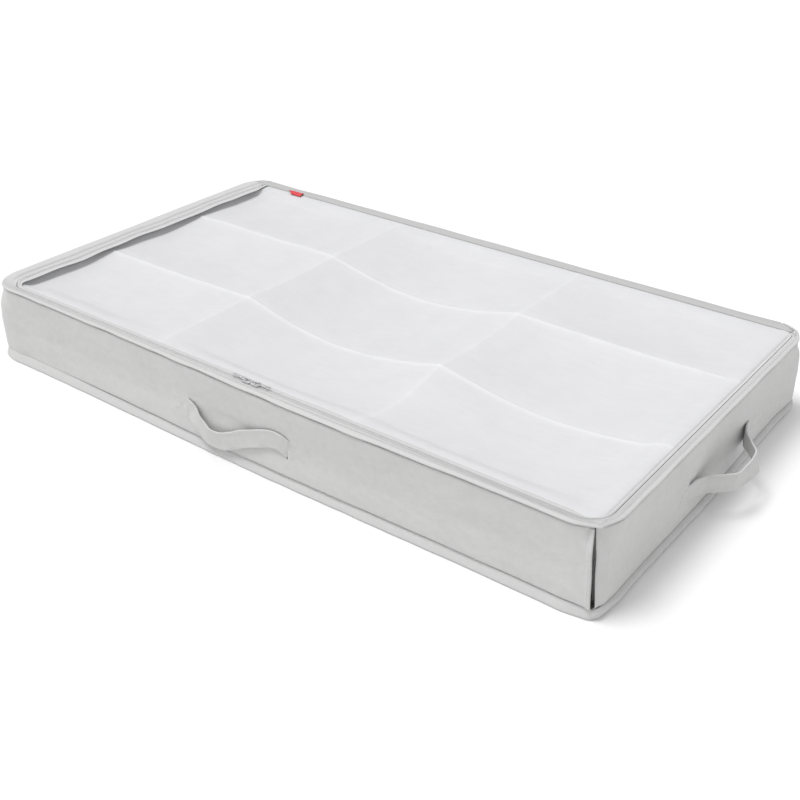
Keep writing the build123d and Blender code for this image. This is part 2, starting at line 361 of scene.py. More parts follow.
def mesh_of(name, vertices, faces, uvs=None):
    """Mesh in metres; uvs holds one pair in millimetres for each corner of each face."""
    mesh = bpy.data.meshes.new(name)
    mesh.from_pydata((np.asarray(vertices) * MM).tolist(), [], [list(map(int, f)) for f in faces])
    if uvs is not None:
        layer = mesh.uv_layers.new(name="weave")
        layer.data.foreach_set("uv", (np.asarray(uvs) * MM).astype(np.float32).ravel())
    return written(opened(mesh), mesh)


def cells(rows, columns, wrap_rows=False, wrap_columns=False, holes=None):
    """Row and column of each cell of a grid of points, and the four points round it."""
    cell_rows = rows if wrap_rows else rows - 1
    cell_columns = columns if wrap_columns else columns - 1
    r, c = np.meshgrid(np.arange(cell_rows), np.arange(cell_columns), indexing="ij")
    if holes is not None:
        keep = ~holes[:cell_rows, :cell_columns]
        r, c = r[keep], c[keep]
    r, c = r.ravel(), c.ravel()
    next_r, next_c = (r + 1) % rows, (c + 1) % columns
    corners = np.column_stack([r * columns + c, r * columns + next_c,
                               next_r * columns + next_c, next_r * columns + c])
    return r, c, corners


def grid_mesh(name, grid, wrap_rows=False, wrap_columns=False, holes=None):
    """Mesh of a grid of points. A section closed on itself wraps its rows, and its open ends
    are capped; holes marks the cells that are left out."""
    rows, columns = grid.shape[:2]
    r, c, faces = cells(rows, columns, wrap_rows, wrap_columns, holes)
    middle_row, middle_column = grid[rows // 2], grid[:, columns // 2]
    u = run_of(closed(middle_row) if wrap_columns else middle_row)
    v = run_of(closed(middle_column) if wrap_rows else middle_column)
    uvs = [np.column_stack([u[c + right], v[r + down]])
           for right, down in ((0, 0), (1, 0), (1, 1), (0, 1))]
    uvs = np.stack(uvs, axis=1).reshape(-1, 2)
    faces = faces.tolist()
    if wrap_rows and not wrap_columns:
        for column in (0, columns - 1):
            for k in range(rows // 2 - 1):
                corners = [k, k + 1, rows - 2 - k, rows - 1 - k]
                faces.append([i * columns + column for i in corners])
                uvs = np.vstack([uvs, np.column_stack([v[corners], v[corners]])])
    return mesh_of(name, grid.reshape(-1, 3), faces, uvs)


def cloth_mesh(name, grid, thickness, wrap_columns=False):
    """Closed mesh made of a surface grid and its copy set back by thickness."""
    if wrap_columns:
        extended = np.concatenate([grid[:, -1:], grid, grid[:, :1]], axis=1)
        across = np.gradient(extended, axis=1)[:, 1:-1]
    else:
        across = np.gradient(grid, axis=1)
    normal = unit(np.cross(np.gradient(grid, axis=0), across))
    shell = np.concatenate([grid, (grid - normal * thickness)[::-1]], axis=0)
    return grid_mesh(name, shell, wrap_rows=True, wrap_columns=wrap_columns)


def add_cloth(name, grid, thickness, *look):
    """Adds a piece made of a surface grid given a thickness; look goes on to add_object."""
    return add_object(name, cloth_mesh(name, grid, thickness), *look)


def layer_mesh(name, grid, thickness):
    """Closed mesh made of a level surface grid and its copy lowered by thickness."""
    lowered = grid - (0, 0, thickness)
    return grid_mesh(name, np.concatenate([grid, lowered[::-1]], axis=0), wrap_rows=True)


def merged(parts):
    """One list of points and one of faces, from several (points, faces)."""
    points, faces, count = [], [], 0
    for part_points, part_faces in parts:
        points.append(part_points)
        faces += [tuple(i + count for i in face) for face in part_faces]
        count += len(part_points)
    return np.vstack(points), faces


def apply_modifiers(piece):
    """Puts what the modifiers make into the piece's own mesh."""
    graph = bpy.context.evaluated_depsgraph_get()
    made = bpy.data.meshes.new_from_object(piece.evaluated_get(graph))
    piece.modifiers.clear()
    piece.data = made


def bevelled(piece, width, segments):
    """Rounds the edges of a piece."""
    rounding = piece.modifiers.new("rounding", "BEVEL")
    rounding.width = width * MM
    rounding.segments = segments
    apply_modifiers(piece)


def solidified(mesh, thickness, offset=-1.0):
    """The mesh given a thickness, with its rims closed."""
    holder = linked("holder", mesh)
    solid = holder.modifiers.new("thickness", "SOLIDIFY")
    solid.thickness = thickness * MM
    solid.offset = offset
    apply_modifiers(holder)
    made = holder.data
    bpy.data.objects.remove(holder)
    return made


# ------------------------ stitches
# a stitch's thread, as shares of its length with its width and its height over the fabric
STITCH_SHAPE = ((0.0, 0.25, -0.25), (0.25, 1.0, 0.25), (0.75, 1.0, 0.25), (1.0, 0.25, -0.25))
STITCH_RADIUS = 0.27


def stitch_arrays(line, normal, pitch=4.2, length=3.1, radius=STITCH_RADIUS):
    """Short threads lying along a line on a surface with the given normals."""
    run = run_of(line)
    count = int(run[-1] // pitch)
    starts = (np.arange(count) + 0.5) * pitch - length / 2
    sides, rings = 6, []
    for share, swell, lift in STITCH_SHAPE:
        at = starts + share * length
        up = unit(at_places(normal, run, at))
        middle = at_places(line, run, at) + up * lift * radius
        side = unit(np.cross(up, at_places(line, run, at + 0.5) - at_places(line, run, at - 0.5)))
        for a in around(sides):
            spoke = up * math.sin(a) * 0.8 + side * math.cos(a)
            rings.append(middle + spoke * swell * radius)
    each = len(STITCH_SHAPE) * sides
    points = np.array(rings).reshape(len(STITCH_SHAPE), sides, count, 3)
    points = points.transpose(2, 0, 1, 3).reshape(-1, 3)
    one = []
    for k in range(len(STITCH_SHAPE) - 1):
        for j in range(sides):
            a, b = k * sides + j, k * sides + (j + 1) % sides
            one.append((a, b, b + sides, a + sides))
    faces = [tuple(i + each * s for i in face) for s in range(count) for face in one]
    for first in (0, each - sides):
        faces += [tuple(each * s + first + i for i in range(sides)) for s in range(count)]
    return points, faces


def stitching(name, lines, body, slot, **settings):
    """One piece made of several rows of stitches; each row is (line, normals)."""
    rows = []
    for line, normal in lines:
        normal = np.broadcast_to(np.asarray(normal, float), line.shape)
        rows.append(stitch_arrays(line, normal, **settings))
    return add_object(name, mesh_of(name, *merged(rows)), thread, slot, body)


# ------------------------ materials
class Shader:
    """Small helper that wires the nodes of one material."""

    def __init__(self, name):
        self.material = bpy.data.materials.new(name)
        self.material.use_nodes = True
        self.tree = self.material.node_tree
        self.principled = self.tree.nodes["Principled BSDF"]
        self.output = self.tree.nodes["Material Output"]

    def feed(self, socket, value):
        """Links a socket to another one, or gives it a plain value."""
        if isinstance(value, bpy.types.NodeSocket):
            self.tree.links.new(value, socket)
        else:
            socket.default_value = value

    def node(self, kind, settings=None, **inputs):
        made = self.tree.nodes.new(kind)
        for key, value in (settings or {}).items():
            setattr(made, key, value)
        for key, value in inputs.items():
            self.feed(made.inputs[key.replace("_", " ")], value)
        return made

    def math(self, operation, a, b=0.5, c=0.5):
        made = self.node("ShaderNodeMath", {"operation": operation})
        for socket, value in zip(made.inputs, (a, b, c)):
            self.feed(socket, value)
        return made.outputs[0]

    def weighted(self, a, share_a, b, share_b):
        """a * share_a + b * share_b"""
        return self.math("MULTIPLY_ADD", a, share_a, self.math("MULTIPLY", b, share_b))

    def place(self, use_uv):
        coordinates = self.node("ShaderNodeTexCoord")
        return coordinates.outputs["UV" if use_uv else "Object"]

    def noise(self, place, size, detail=2.0, stretch=(1, 1, 1)):
        """Cloudy values of about 0 to 1, with clouds of the given size in millimetres."""
        mapping = self.node("ShaderNodeMapping", Vector=place, Scale=stretch)
        made = self.node("ShaderNodeTexNoise", Vector=mapping.outputs[0],
                         Scale=1 / (size * MM), Detail=detail)
        return made.outputs[0]

    def bands(self, place, period, direction):
        """Ribs with the given period in millimetres."""
        wave = self.node("ShaderNodeTexWave", {"wave_type": "BANDS", "bands_direction": direction},
                         Vector=place, Scale=math.tau / 20 / (period * MM), Distortion=0.4)
        return wave.outputs["Fac"]

    def colour(self, dark, light, fac):
        made = self.node("ShaderNodeMix", {"data_type": "RGBA"})
        self.feed(made.inputs[6], (*dark, 1))
        self.feed(made.inputs[7], (*light, 1))
        self.feed(made.inputs[0], fac)
        return made.outputs[2]

    def bump(self, *layers):
        """Bumps laid over each other; each is (height, depth in millimetres)."""
        normal = None
        for height, depth in layers:
            made = self.node("ShaderNodeBump", Height=height, Distance=depth * MM, Strength=1.0)
            if normal is not None:
                self.feed(made.inputs["Normal"], normal)
            normal = made.outputs[0]
        return normal

    def set(self, **inputs):
        for key, value in inputs.items():
            self.feed(self.principled.inputs[key.replace("_", " ")], value)
        return self.material


def tint(level, warmth=0.0):
    """Grey of a level, a little warm."""
    return (level * (1 + warmth), level, level * (1 - warmth))


def nonwoven(name, level, warmth=0.004):
    """Spunbond fabric: pressed bonding points, loose fibres and faint clouds."""
    s = Shader(name)
    place = s.place(False)
    points = s.node("ShaderNodeTexVoronoi", Vector=place, Scale=1 / (1.15 * MM), Randomness=0.35)
    dimple = s.math("SMOOTH_MIN", points.outputs["Distance"], 0.42, 0.2)
    fibres = s.noise(place, 0.55, 3.0, (1.0, 0.45, 1.0))
    clouds = s.noise(place, 9.0, 3.0)
    wide = s.noise(place, 60.0, 2.0)
    tone = s.weighted(fibres, 0.45, clouds, 0.4)
    tone = s.math("MULTIPLY_ADD", wide, 0.3, tone)
    tone = s.math("MULTIPLY_ADD", dimple, 0.35, s.math("SUBTRACT", tone, 0.2))
    base = s.colour(tint(level * 0.84, warmth), tint(level * 1.12, warmth), tone)
    return s.set(Base_Color=base, Roughness=0.88, Sheen_Weight=0.12, Sheen_Roughness=0.6,
                 Normal=s.bump((clouds, 0.7), (fibres, 0.14), (dimple, 0.26)))


def woven(name, level, period, warmth=0.0):
    """Narrow woven tape: ribs across it and fine threads along it."""
    s = Shader(name)
    place = s.place(True)
    weave = s.weighted(s.bands(place, period, "X"), 0.6, s.bands(place, period * 0.8, "Y"), 0.4)
    clouds = s.noise(place, 5.0, 3.0)
    tone = s.weighted(weave, 0.45, clouds, 0.6)
    base = s.colour(tint(level * 0.88, warmth), tint(level * 1.08, warmth), tone)
    return s.set(Base_Color=base, Roughness=0.8, Sheen_Weight=0.1,
                 Normal=s.bump((clouds, 0.25), (weave, 0.16)))


def grained(name, dark, light, size, detail, depth, **finish):
    """Even material with a fine grain; depth is that of the grain in millimetres."""
    s = Shader(name)
    grain = s.noise(s.place(False), size, detail)
    return s.set(Base_Color=s.colour(dark, light, grain), Normal=s.bump((grain, depth)), **finish)


def lid_material():
    """Thin white sheet that lets light through, with a faint crossed weave, soft creases and a
    painted highlight over the dividers.
    """
    s = Shader("white lid sheet")
    place = s.place(True)
    weave = s.weighted(s.bands(place, 1.1, "X"), 0.5, s.bands(place, 1.1, "Y"), 0.5)
    fibres = s.noise(place, 0.9, 3.0, (1.0, 0.3, 1.0))
    streaks = s.noise(place, 6.0, 4.0, (1.0, 0.16, 1.0))
    clouds = s.noise(place, 45.0, 3.0)
    tone = s.weighted(streaks, 0.5, clouds, 0.5)
    tone = s.math("MULTIPLY_ADD", fibres, 0.3, s.math("SUBTRACT", tone, 0.15))
    # painted highlight: the base colour is lightened in a thin line and a wider soft band over each
    # divider, standing in for the light where the sheet lies on their top edges
    position = s.node("ShaderNodeSeparateXYZ", Vector=s.place(False))
    for axis, divider, strength in (("Y", DIVIDER_Y, 1.0), ("X", DIVIDER_X, 0.6)):
        off = s.math("SUBTRACT", s.math("ABSOLUTE", position.outputs[axis]), divider * MM)
        off = s.math("ABSOLUTE", off)
        line, painted_highlight_spread = [s.math("EXPONENT", s.math("MULTIPLY", off, -1 / (width * MM)))
                      for width in (2.2, 11)]
        painted_ridge_highlight = s.weighted(line, 0.6 * strength, painted_highlight_spread, 0.4 * strength)
        tone = s.math("MULTIPLY_ADD", painted_ridge_highlight, 0.75, tone)
    base = s.colour((0.74, 0.74, 0.755), (0.93, 0.93, 0.94), s.math("MULTIPLY", tone, 0.58))
    normal = s.bump((clouds, 0.8), (streaks, 0.22), (fibres, 0.06), (weave, 0.06))
    s.set(Base_Color=base, Roughness=0.55, Normal=normal, Sheen_Weight=0.08)
    light = s.node("ShaderNodeBsdfTranslucent", Color=base, Normal=normal)
    mix = s.node("ShaderNodeMixShader", Fac=0.22)
    s.feed(mix.inputs[1], s.principled.outputs[0])
    s.feed(mix.inputs[2], light.outputs[0])
    s.feed(s.output.inputs["Surface"], mix.outputs[0])
    return s.material


def board_material():
    """Pressed grey board with fine flecks."""
    s = Shader("grey board")
    place = s.place(False)
    flecks = s.noise(place, 1.2, 4.0)
    tone = s.weighted(flecks, 0.6, s.noise(place, 25.0, 3.0), 0.4)
    base = s.colour((0.36, 0.35, 0.33), (0.47, 0.46, 0.44), tone)
    return s.set(Base_Color=base, Roughness=0.9, Normal=s.bump((flecks, 0.12)))


def metal_material():
    """Dull plated metal, a little worn."""
    s = Shader("slider metal")
    wear = s.noise(s.place(False), 0.8, 4.0)
    base = s.colour((0.46, 0.46, 0.47), (0.66, 0.66, 0.67), wear)
    rough = s.math("MULTIPLY_ADD", wear, 0.15, 0.45)
    return s.set(Base_Color=base, Metallic=0.5, Roughness=rough)


def label_material():
    """Plain red satin ribbon."""
    s = Shader("red satin label")
    place = s.place(True)
    ribs = s.bands(place, 0.35, "Y")
    tone = s.weighted(ribs, 0.6, s.noise(place, 2.0, 2.0), 0.4)
    base = s.colour((0.55, 0.012, 0.02), (0.80, 0.03, 0.04), tone)
    return s.set(Base_Color=base, Roughness=0.45, Normal=s.bump((ribs, 0.05)), Sheen_Weight=0.2)


cover_fabric = nonwoven("grey cover fabric", 0.60)
panel_fabric = nonwoven("grey divider fabric", 0.64)
lining_fabric = nonwoven("grey lining fabric", 0.62)
strap_fabric = nonwoven("grey strap fabric", 0.585)
binding_tape = woven("grey binding tape", 0.61, 0.9, 0.003)
back_tape = woven("grey back tape", 0.49, 0.9, 0.003)
zip_tape = woven("grey zip tape", 0.59, 0.8)
thread = grained("light grey thread", tint(0.66 * 0.9), tint(0.66 * 1.05), 0.4, 2.0, 0.08,
                 Roughness=0.6, Sheen_Weight=0.2)
coil_nylon = grained("zip coil nylon", tint(0.74), tint(0.86), 0.5, 2.0, 0.03, Roughness=0.38)
white_sheet = lid_material()
grey_board = board_material()
slider_metal = metal_material()
red_label = label_material()


# ------------------------ lid sheet surface
# depth of the sheet over each divider by compartment: along the long dividers and the walls
# beside them from front to back, then along the cross dividers from left to right
PANEL_SAG = 12.0
SAG_OVER_LONG = np.array([(0.0, 0.0, 0.0), (3.0, 27.0, 22.0), (1.0, 27.0, 2.0), (0.0, 0.0, 0.0)])
SAG_OVER_CROSS = np.array([(0.0, 0.0, 0.0), (1.0, 3.0, 1.0), (14.0, 6.0, 3.0), (0.0, 0.0, 0.0)])
LONG_SAG_LOSS = 0.3
CROSS_SAG_LOSS = 0.88
SAG_FREE_BORDER = 20.0
SAG_FADE = 30.0
LEFT_DROP = 6.0


def span_of(position, half):
    """Which of three compartments a place is in, and how far along it."""
    place = np.clip(1.5 * (position / half + 1), 0, 3)
    span = np.minimum(place.astype(int), 2)
    return span, place - span


def sheet_sag(x, y):
    """Depth of the sheet, blended between the four edges of a compartment."""
    column, u = span_of(x, HALF_X)
    row, v = span_of(y, HALF_Y)
    along, across = np.sin(math.pi * u), np.sin(math.pi * v)
    over_long = (1 - v) * SAG_OVER_LONG[row, column] + v * SAG_OVER_LONG[row + 1, column]
    over_cross = (1 - u) * SAG_OVER_CROSS[column, row] + u * SAG_OVER_CROSS[column + 1, row]
    over_long = over_long * along * (1 - LONG_SAG_LOSS * across)
    over_cross = over_cross * across * (1 - CROSS_SAG_LOSS * along)
    fade_x = smooth((HALF_X - abs(x) - SAG_FREE_BORDER) / SAG_FADE)
    fade_y = smooth((HALF_Y - abs(y) - SAG_FREE_BORDER) / SAG_FADE)
    return (over_long + over_cross + PANEL_SAG * along * across) * fade_x * fade_y


def left_rise(y):
    """Share of the left border's shape, nothing at the front corner."""
    return smooth((y + HALF_Y - 8) / 26)


def right_border(x):
    """1 on the right border of the lid, 0 over the rest."""
    return smooth((x - HALF_X + 45) / 25)


def sheet_height(x, y):
    """Top of the sheet, with the dropped left border, the ridges and faint creases."""
    height = SHEET_LEVEL + 0.6 - sheet_sag(x, y)
    inset = x + HALF_X
    middle = np.sin(math.pi * span_of(y, HALF_Y)[1]) ** 0.6
    back = 1 - smooth((y - HALF_Y + 60) / 50)
    drop = LEFT_DROP * smooth((inset - 11) / 9) * (1 - smooth((inset - 30) / 70))
    height = height - drop * (0.25 + 0.75 * middle) * back * left_rise(y)
    to_long = np.minimum(abs(y - DIVIDER_Y), abs(y + DIVIDER_Y))
    to_cross = np.minimum(abs(x - DIVIDER_X), abs(x + DIVIDER_X))
    ridge = np.maximum(1.5 * bell(to_long, 2.0), 0.5 * bell(to_cross, 3.0))
    away = smooth((HALF_X - abs(x) - 24) / 10) * smooth((HALF_Y - abs(y) - 24) / 10)
    creases = 0.45 * ripples(x, y * 0.45, 70, 11) + 0.25 * ripples(x * 0.5, y, 34, 12)
    return height + (ridge + creases) * away


# ------------------------ walls
# how far the wall follows the rim's reach, by height
SHOULDER_HEIGHTS = (0, 30, 50, 70, 90, 109.0, 111.4, 112.9, 120)
SHOULDER_SHARES = (0.1, 0.38, 0.48, 0.6, 0.8, 1.0, 0.9, -0.05, -0.05)

# the box stitches of the strap ends: distances behind the slit, heights and width
PATCH_NEAR, PATCH_FAR = 7, 28
PATCH_LOW, PATCH_HIGH = 40, 60
SEAM_WIDTH = 1.5

# the corner seam at the front right, by height: curl of the right panel's edge, and shifts
SEAM_HEIGHTS = (0, 7, 30, 59, 88, 107, 114)
SEAM_CURL = (2.6, 2.6, 5.0, 7.0, 8.6, 5.8, 5.8)
FRONT_END_SHIFT = (-0.5, -0.9, -2.3, -4.0, -6.8, -9.9, -10.5)
RIGHT_START_SHIFT = (-1.6, -1.6, -1.2, -0.8, 1.6, 4.5, 5.0)

# section of the base binding, (outset, height), in front and tucked under on the right
BASE_SECTION = [(-0.3, 12.2), (0.4, 12.9), (1.4, 12.6), (2.6, 10.8), (3.8, 8.6), (4.8, 6.3),
                (5.8, 4.2), (6.5, 2.6), (6.7, 1.4), (6.0, 0.4), (4.5, 0.1), (1.5, 0.05)]
BASE_TUCKED = [(-0.3, 13.0), (2.2, 13.6), (4.6, 13.2), (6.4, 12.0), (7.6, 10.0), (8.0, 8.0),
               (7.4, 5.6), (6.0, 3.4), (4.4, 1.6), (3.2, 0.5), (2.2, 0.1), (0.6, 0.05)]
BASE_INSIDE = [(-0.5, 0.05), (-0.5, 4.0), (-0.4, 8.0), (-0.4, 11.0)]


def wall_rows():
    """Heights of the rows of points in the wall cover, close together at seams and slits."""
    base = [extent("wall_cover")[0][2], 4, 8, 11, 12.4, 13.2, 14.0, 15.0, 17.0, 20.5, 25.5, 31.5]
    slits = list(np.linspace(SLIT_LOW, SLIT_HIGH, 9))
    upper = list(np.linspace(SLIT_HIGH, 109.0, 12))[1:]
    return np.array(base + slits + upper + [110.4, 111.4, 112.1, 112.9, WALL_TOP])


def slit_places():
    """Each slit: its centre, the direction along its wall, and which way its strap lies."""
    places = [((x, -HALF_Y), (1.0, 0.0), side) for x, side in zip(FRONT_SLITS, (1, -1))]
    for wall in (HALF_X, -HALF_X):
        places += [((wall, y), (0.0, 1.0), side) for y, side in zip(SIDE_SLITS, (1, -1))]
    return places


def from_slit(x, y, slit):
    """How far points are from a slit along its wall, and off that wall."""
    (sx, sy), (ax, ay), _ = slit
    return (x - sx) * ax + (y - sy) * ay, abs((x - sx) * ay) + abs((y - sy) * ax)


def flange_reach(x, y):
    """Outward reach of the rim's flange: bowed in front, slack on the left."""
    front = smooth((-y - HALF_Y + 12) / 10)
    left = smooth((-x - HALF_X + 12) / 10) * (1 - front)
    slack = 1.6 * left * smooth((60 - y) / 90)
    return RIM_OUTER + (FLANGE_BOW * front_bow(x) - 1.4) * front - slack


def facing(normals, axis):
    """How far stations face toward the low end of an axis, 0 to 1."""
    return smooth((-normals[:, axis] - 0.3) / 0.6)


def rim_shift(x, y, normals):
    """Outward shift of the whole rim binding along the front."""
    return 0.5 * facing(normals, 1) * (flange_reach(x, y) - RIM_OUTER)


def strap_marks(x, y, z):
    """How the strap ends behind the cover push it out, and their box stitches pull it in."""
    outset = 0.0
    for slit in slit_places():
        away, off_wall = from_slit(x, y, slit)
        side = slit[2]
        behind = -side * away
        mouth = np.exp(-((away + side * 3.0) / 5.0) ** 2 - ((z - 50) / 13.0) ** 2)
        patch = (window(behind, PATCH_NEAR - 6, PATCH_FAR + 6, 3)
                 * window(z, PATCH_LOW - 5, PATCH_HIGH + 5, 3))
        inside = (window(behind, PATCH_NEAR - 2, PATCH_FAR + 2, 2)
                  * window(z, PATCH_LOW - 2, PATCH_HIGH + 2, 2))
        seams = (bell(behind - PATCH_FAR, SEAM_WIDTH) + bell(behind - PATCH_NEAR, SEAM_WIDTH)
                 + bell(z - PATCH_HIGH, SEAM_WIDTH) + bell(z - PATCH_LOW, SEAM_WIDTH))
        pucker = bell(away - side * 8, 16) * bell(z - 36, 9) * np.sin(z / 2.2 + away / 6)
        marks = 1.8 * mouth + 0.9 * patch - 0.45 * np.minimum(seams, 1.0) * inside + 0.5 * pucker
        outset = outset + smooth(1 - off_wall / 12) * marks
    return outset


def wall_outset(x, y, z):
    """How far the fabric stands off its flat line."""
    swell = np.sin(math.pi * np.clip(z / WALL_TOP, 0, 1)) * (1 - near_corner(x, y, 70))
    along = np.where(abs(abs(y) - HALF_Y) < 20, x, y)
    shoulder = np.interp(z, SHOULDER_HEIGHTS, SHOULDER_SHARES) * (flange_reach(x, y) - 1.6)
    shoulder = shoulder * (1 - 0.6 * near_corner(x, y, 45))
    overhang = 1.5 * smooth((z - 13.4) / 1.6) * (1 - smooth((z - 18) / 40))
    overhang = overhang - 1.6 * (1 - smooth((z - 12.8) / 1.6))
    front_left = 0.15 + 0.85 * smooth((x + 400) / 200)
    overhang = overhang * np.where(y < -HALF_Y + 20, front_left, 1.0)
    clouds = 0.45 * ripples(along, z, 130, 5) + 0.35 * ripples(along, z * 1.5, 45, 6)
    return ((0.6 + clouds) * swell + shoulder + corner_shift(x, y, z) + overhang
            + strap_marks(x, y, z))


def wall_line(x, y, z):
    """How far the finished cover stands off the wall's line, with the bow of the base."""
    return wall_outset(x, y, z) + base_bow(x, y, z)


def make_wall_cover():
    """The cover of the four walls, from its open edge at the front right corner round."""
    marks = {"front": FRONT_SLITS, "right": SIDE_SLITS, "left": SIDE_SLITS}
    radii = (WALL_RADII[0], 2.5, WALL_RADII[2], WALL_RADII[3])
    base = track(radii, 4.0, first="right", marks=marks)
    points = base[0]
    x, y = points.T[:, None, :]
    levels = wall_rows()
    z = levels[:, None]
    outset = wall_outset(x, y, z)
    run = np.linalg.norm(points - points[0], axis=1)[None, :]
    right_start = (x > HALF_X - 1) * smooth(1 - run / 12)
    outset = outset - np.interp(z, SEAM_HEIGHTS, SEAM_CURL) * right_start
    front_end = (y < -HALF_Y + 1) * smooth((x - (HALF_X - 13)) / 11)
    outset = outset + 1.6 * front_end * (0.6 + 0.4 * np.cos((z - 40) / 35))
    grid = bowed(rows_along(base, list(zip(outset, levels))), base)
    front_edge = (y < -HALF_Y + 1) * smooth((x - (HALF_X - 22)) / 20)
    grid[..., 0] += np.interp(z, SEAM_HEIGHTS, FRONT_END_SHIFT) * front_edge
    grid[..., 1] += np.interp(z, SEAM_HEIGHTS, RIGHT_START_SHIFT) * right_start
    holes = np.zeros((len(levels), len(points)), bool)
    height = np.clip((levels - SLIT_LOW) / (SLIT_HIGH - SLIT_LOW), 0, 1)
    opening = 1.5 * np.sin(math.pi * height) ** 0.6
    inside = (levels[:-1] >= SLIT_LOW - 0.1) & (levels[1:] <= SLIT_HIGH + 0.1)
    for slit in slit_places():
        away, off_wall = from_slit(*points.T, slit)
        lips = np.flatnonzero((off_wall < 1) & (abs(away) < 0.4))
        for k in lips:
            spread = np.sign(away[k]) * opening
            grid[:, k, :2] += spread[:, None] * np.array(slit[1])
        holes[:-1, lips[0]][inside] = True
    mesh = solidified(grid_mesh("wall cover surface", grid, holes=holes), 0.8)
    add_object("wall_cover_fabric", mesh, cover_fabric, "cover_fabric", "box", ["wall_cover"])
    return grid, levels


def make_corner_seam(grid, levels):
    """Turned-in edge of the front panel with its row of stitches."""
    keep = [k for k, level in enumerate(levels) if BASE_TOP + 1.5 <= level <= WALL_TOP - 3]
    end = grid[keep, -1]
    inward = unit(grid[keep, -3] - end)
    columns = [end + inward * back + (0, off, 0)
               for back, off in ((5.8, 0.5), (5.0, -0.7), (3.4, -0.85), (1.2, -0.85), (0.0, -0.6))]
    columns.append(end + (0.8, 1.0, 0))
    fold = np.stack(columns, axis=1)
    add_cloth("corner_fold_hem", fold, -0.7, cover_fabric, "cover_fabric", "box", ["corner_fold"])
    line = fold[:, 2] + (0, -0.15, 0)
    stitching("corner_seam_stitches", [(resample(line, 2.0), (0, -1, 0))], "box", "cover_fabric")


def make_patch_stitches():
    """Box stitches with a cross, which hold the strap ends behind the cover."""
    one, two, three, four = [(behind, z) for z in (PATCH_LOW, PATCH_HIGH)
                             for behind in (PATCH_NEAR, PATCH_FAR)]
    corners = [one, two, four, three, one, four, two, three]
    lines = []
    for (sx, sy), (ax, ay), side in slit_places():
        out = np.array([math.copysign(1, sx), 0, 0] if ay else [0, -1, 0])
        line = [(sx - side * behind * ax, sy - side * behind * ay, z) for behind, z in corners]
        line = resample(np.array(line, float), 2.0)
        lines.append((line + out * (wall_line(*line.T)[:, None] + 0.1), out))
    stitching("strap_end_stitches", lines, "box", "cover_fabric")


def make_bottom_binding():
    """Folded binding of the base seam, tucked under the overhanging cover on the right."""
    base = track(WALL_RADII, TRACK_STEP)
    x, y = base[0].T
    corner = corner_shift(x, y, 10.0)
    waves = 0.45 * ripples(x, y, 60, 21)
    tuck = smooth((base[1][:, 0] - 0.2) / 0.7)
    section = [(a + (c - a) * tuck + corner + waves * (a > 1), b + (d - b) * tuck)
               for (a, b), (c, d) in zip(BASE_SECTION + BASE_INSIDE, BASE_TUCKED + BASE_INSIDE)]
    grid = bowed(rows_along(base, section, pinch=0.3), base)
    mesh = grid_mesh("bottom binding", grid, wrap_rows=True, wrap_columns=True)
    add_object("bottom_binding_tape", mesh, binding_tape, "binding_tape", "box", ["bottom_binding"])
    normals = closed(np.column_stack([base[1], np.full(len(x), 0.4)]))
    line = closed(grid[3]) + normals * 0.12
    stitching("bottom_binding_stitches", [(line, normals)], "box", "binding_tape")


def make_rim_binding():
    """Folded binding of the rim, from one end of the back seam round the front to the other."""
    base = rim_track()
    x, y = base[0].T
    front, left = facing(base[1], 1), facing(base[1], 0)
    shift = rim_shift(x, y, base[1])
    bow = flange_reach(x, y) - RIM_OUTER - shift
    wave = 0.5 * ripples(x, y, 80, 31)
    lift = 0.4 * ripples(x, y, 110, 32)
    section = []
    for outset, height in flat_section(RIM_INNER, RIM_OUTER, WALL_TOP + 1.0, RIM_TOP, 0.3, 8):
        share = np.clip((outset - RIM_INNER) / (RIM_OUTER - RIM_INNER), 0, 1)
        droop = (0.7 + 0.3 * front + 1.3 * left) * share**2
        section.append((outset + shift + (bow + wave) * share, height + lift * share - droop))
    grid = rows_along(base, section, pinch=0.55)
    mesh = grid_mesh("rim binding", grid, wrap_rows=True)
    add_object("rim_binding_tape", mesh, binding_tape, "binding_tape", "box", ["rim_binding"])
    line = grid[2] + (0, 0, 0.1)
    stitching("rim_binding_stitches", [(line, (0, 0, 1))], "box", "binding_tape")


def make_linings():
    """Lining of the walls and its top hem, and the two fabrics of the floor."""
    base = track(LINING_RADII, 8.0)
    x, y = base[0].T
    top = WALL_TOP + 0.5
    rows = []
    for z in np.linspace(FLOOR_TOP - 0.4, top, 16):
        swell = math.sin(math.pi * z / top)
        rows.append((-5.2 - 0.7 * swell * (1 + 0.5 * ripples(x + y, z, 90, 41)), z))
    mesh = cloth_mesh("wall lining", rows_along(base, rows), 0.6, wrap_columns=True)
    add_object("wall_lining_fabric", mesh, lining_fabric, "lining_fabric", "box", ["wall_lining"])
    hem = rows_along(base, flat_section(-5.9, -4.0, WALL_TOP - 0.6, WALL_TOP + 1.0, 0.1, 4))
    mesh = grid_mesh("lining hem", hem, wrap_rows=True, wrap_columns=True)
    add_object("wall_lining_hem", mesh, binding_tape, "lining_fabric", "box")
    low, high = extent("bottom_lining")
    make_floor_sheet("bottom_lining", low, high, high[2], lining_fabric, "lining_fabric", 0.7, 51)
    low, high = extent("bottom_cover")
    make_floor_sheet("bottom_cover", low, high, low[2], cover_fabric, "cover_fabric", -0.7, 52)


def make_floor_sheet(node, low, high, level, material, slot, thickness, seed):
    """Flat fabric of the floor, faintly puckered upward, with rounded corners."""
    x, y = np.meshgrid(np.linspace(low[0], high[0], 120), np.linspace(low[1], high[1], 70),
                       indexing="ij")
    x, y = rounded_corners(x, y, high[0], high[1], 12.0)
    rim = smooth((high[0] - abs(x)) / 25) * smooth((high[1] - abs(y)) / 25)
    puckers = np.maximum(1 + 0.9 * ripples(x, y, 120, seed), 0)
    depth = 0.35 if thickness > 0 else 0.175
    name = node + "_fabric"
    mesh = layer_mesh(name, np.stack([x, y, level + depth * puckers * rim], axis=-1), thickness)
    piece = add_object(name, mesh, material, slot, "box", [node])


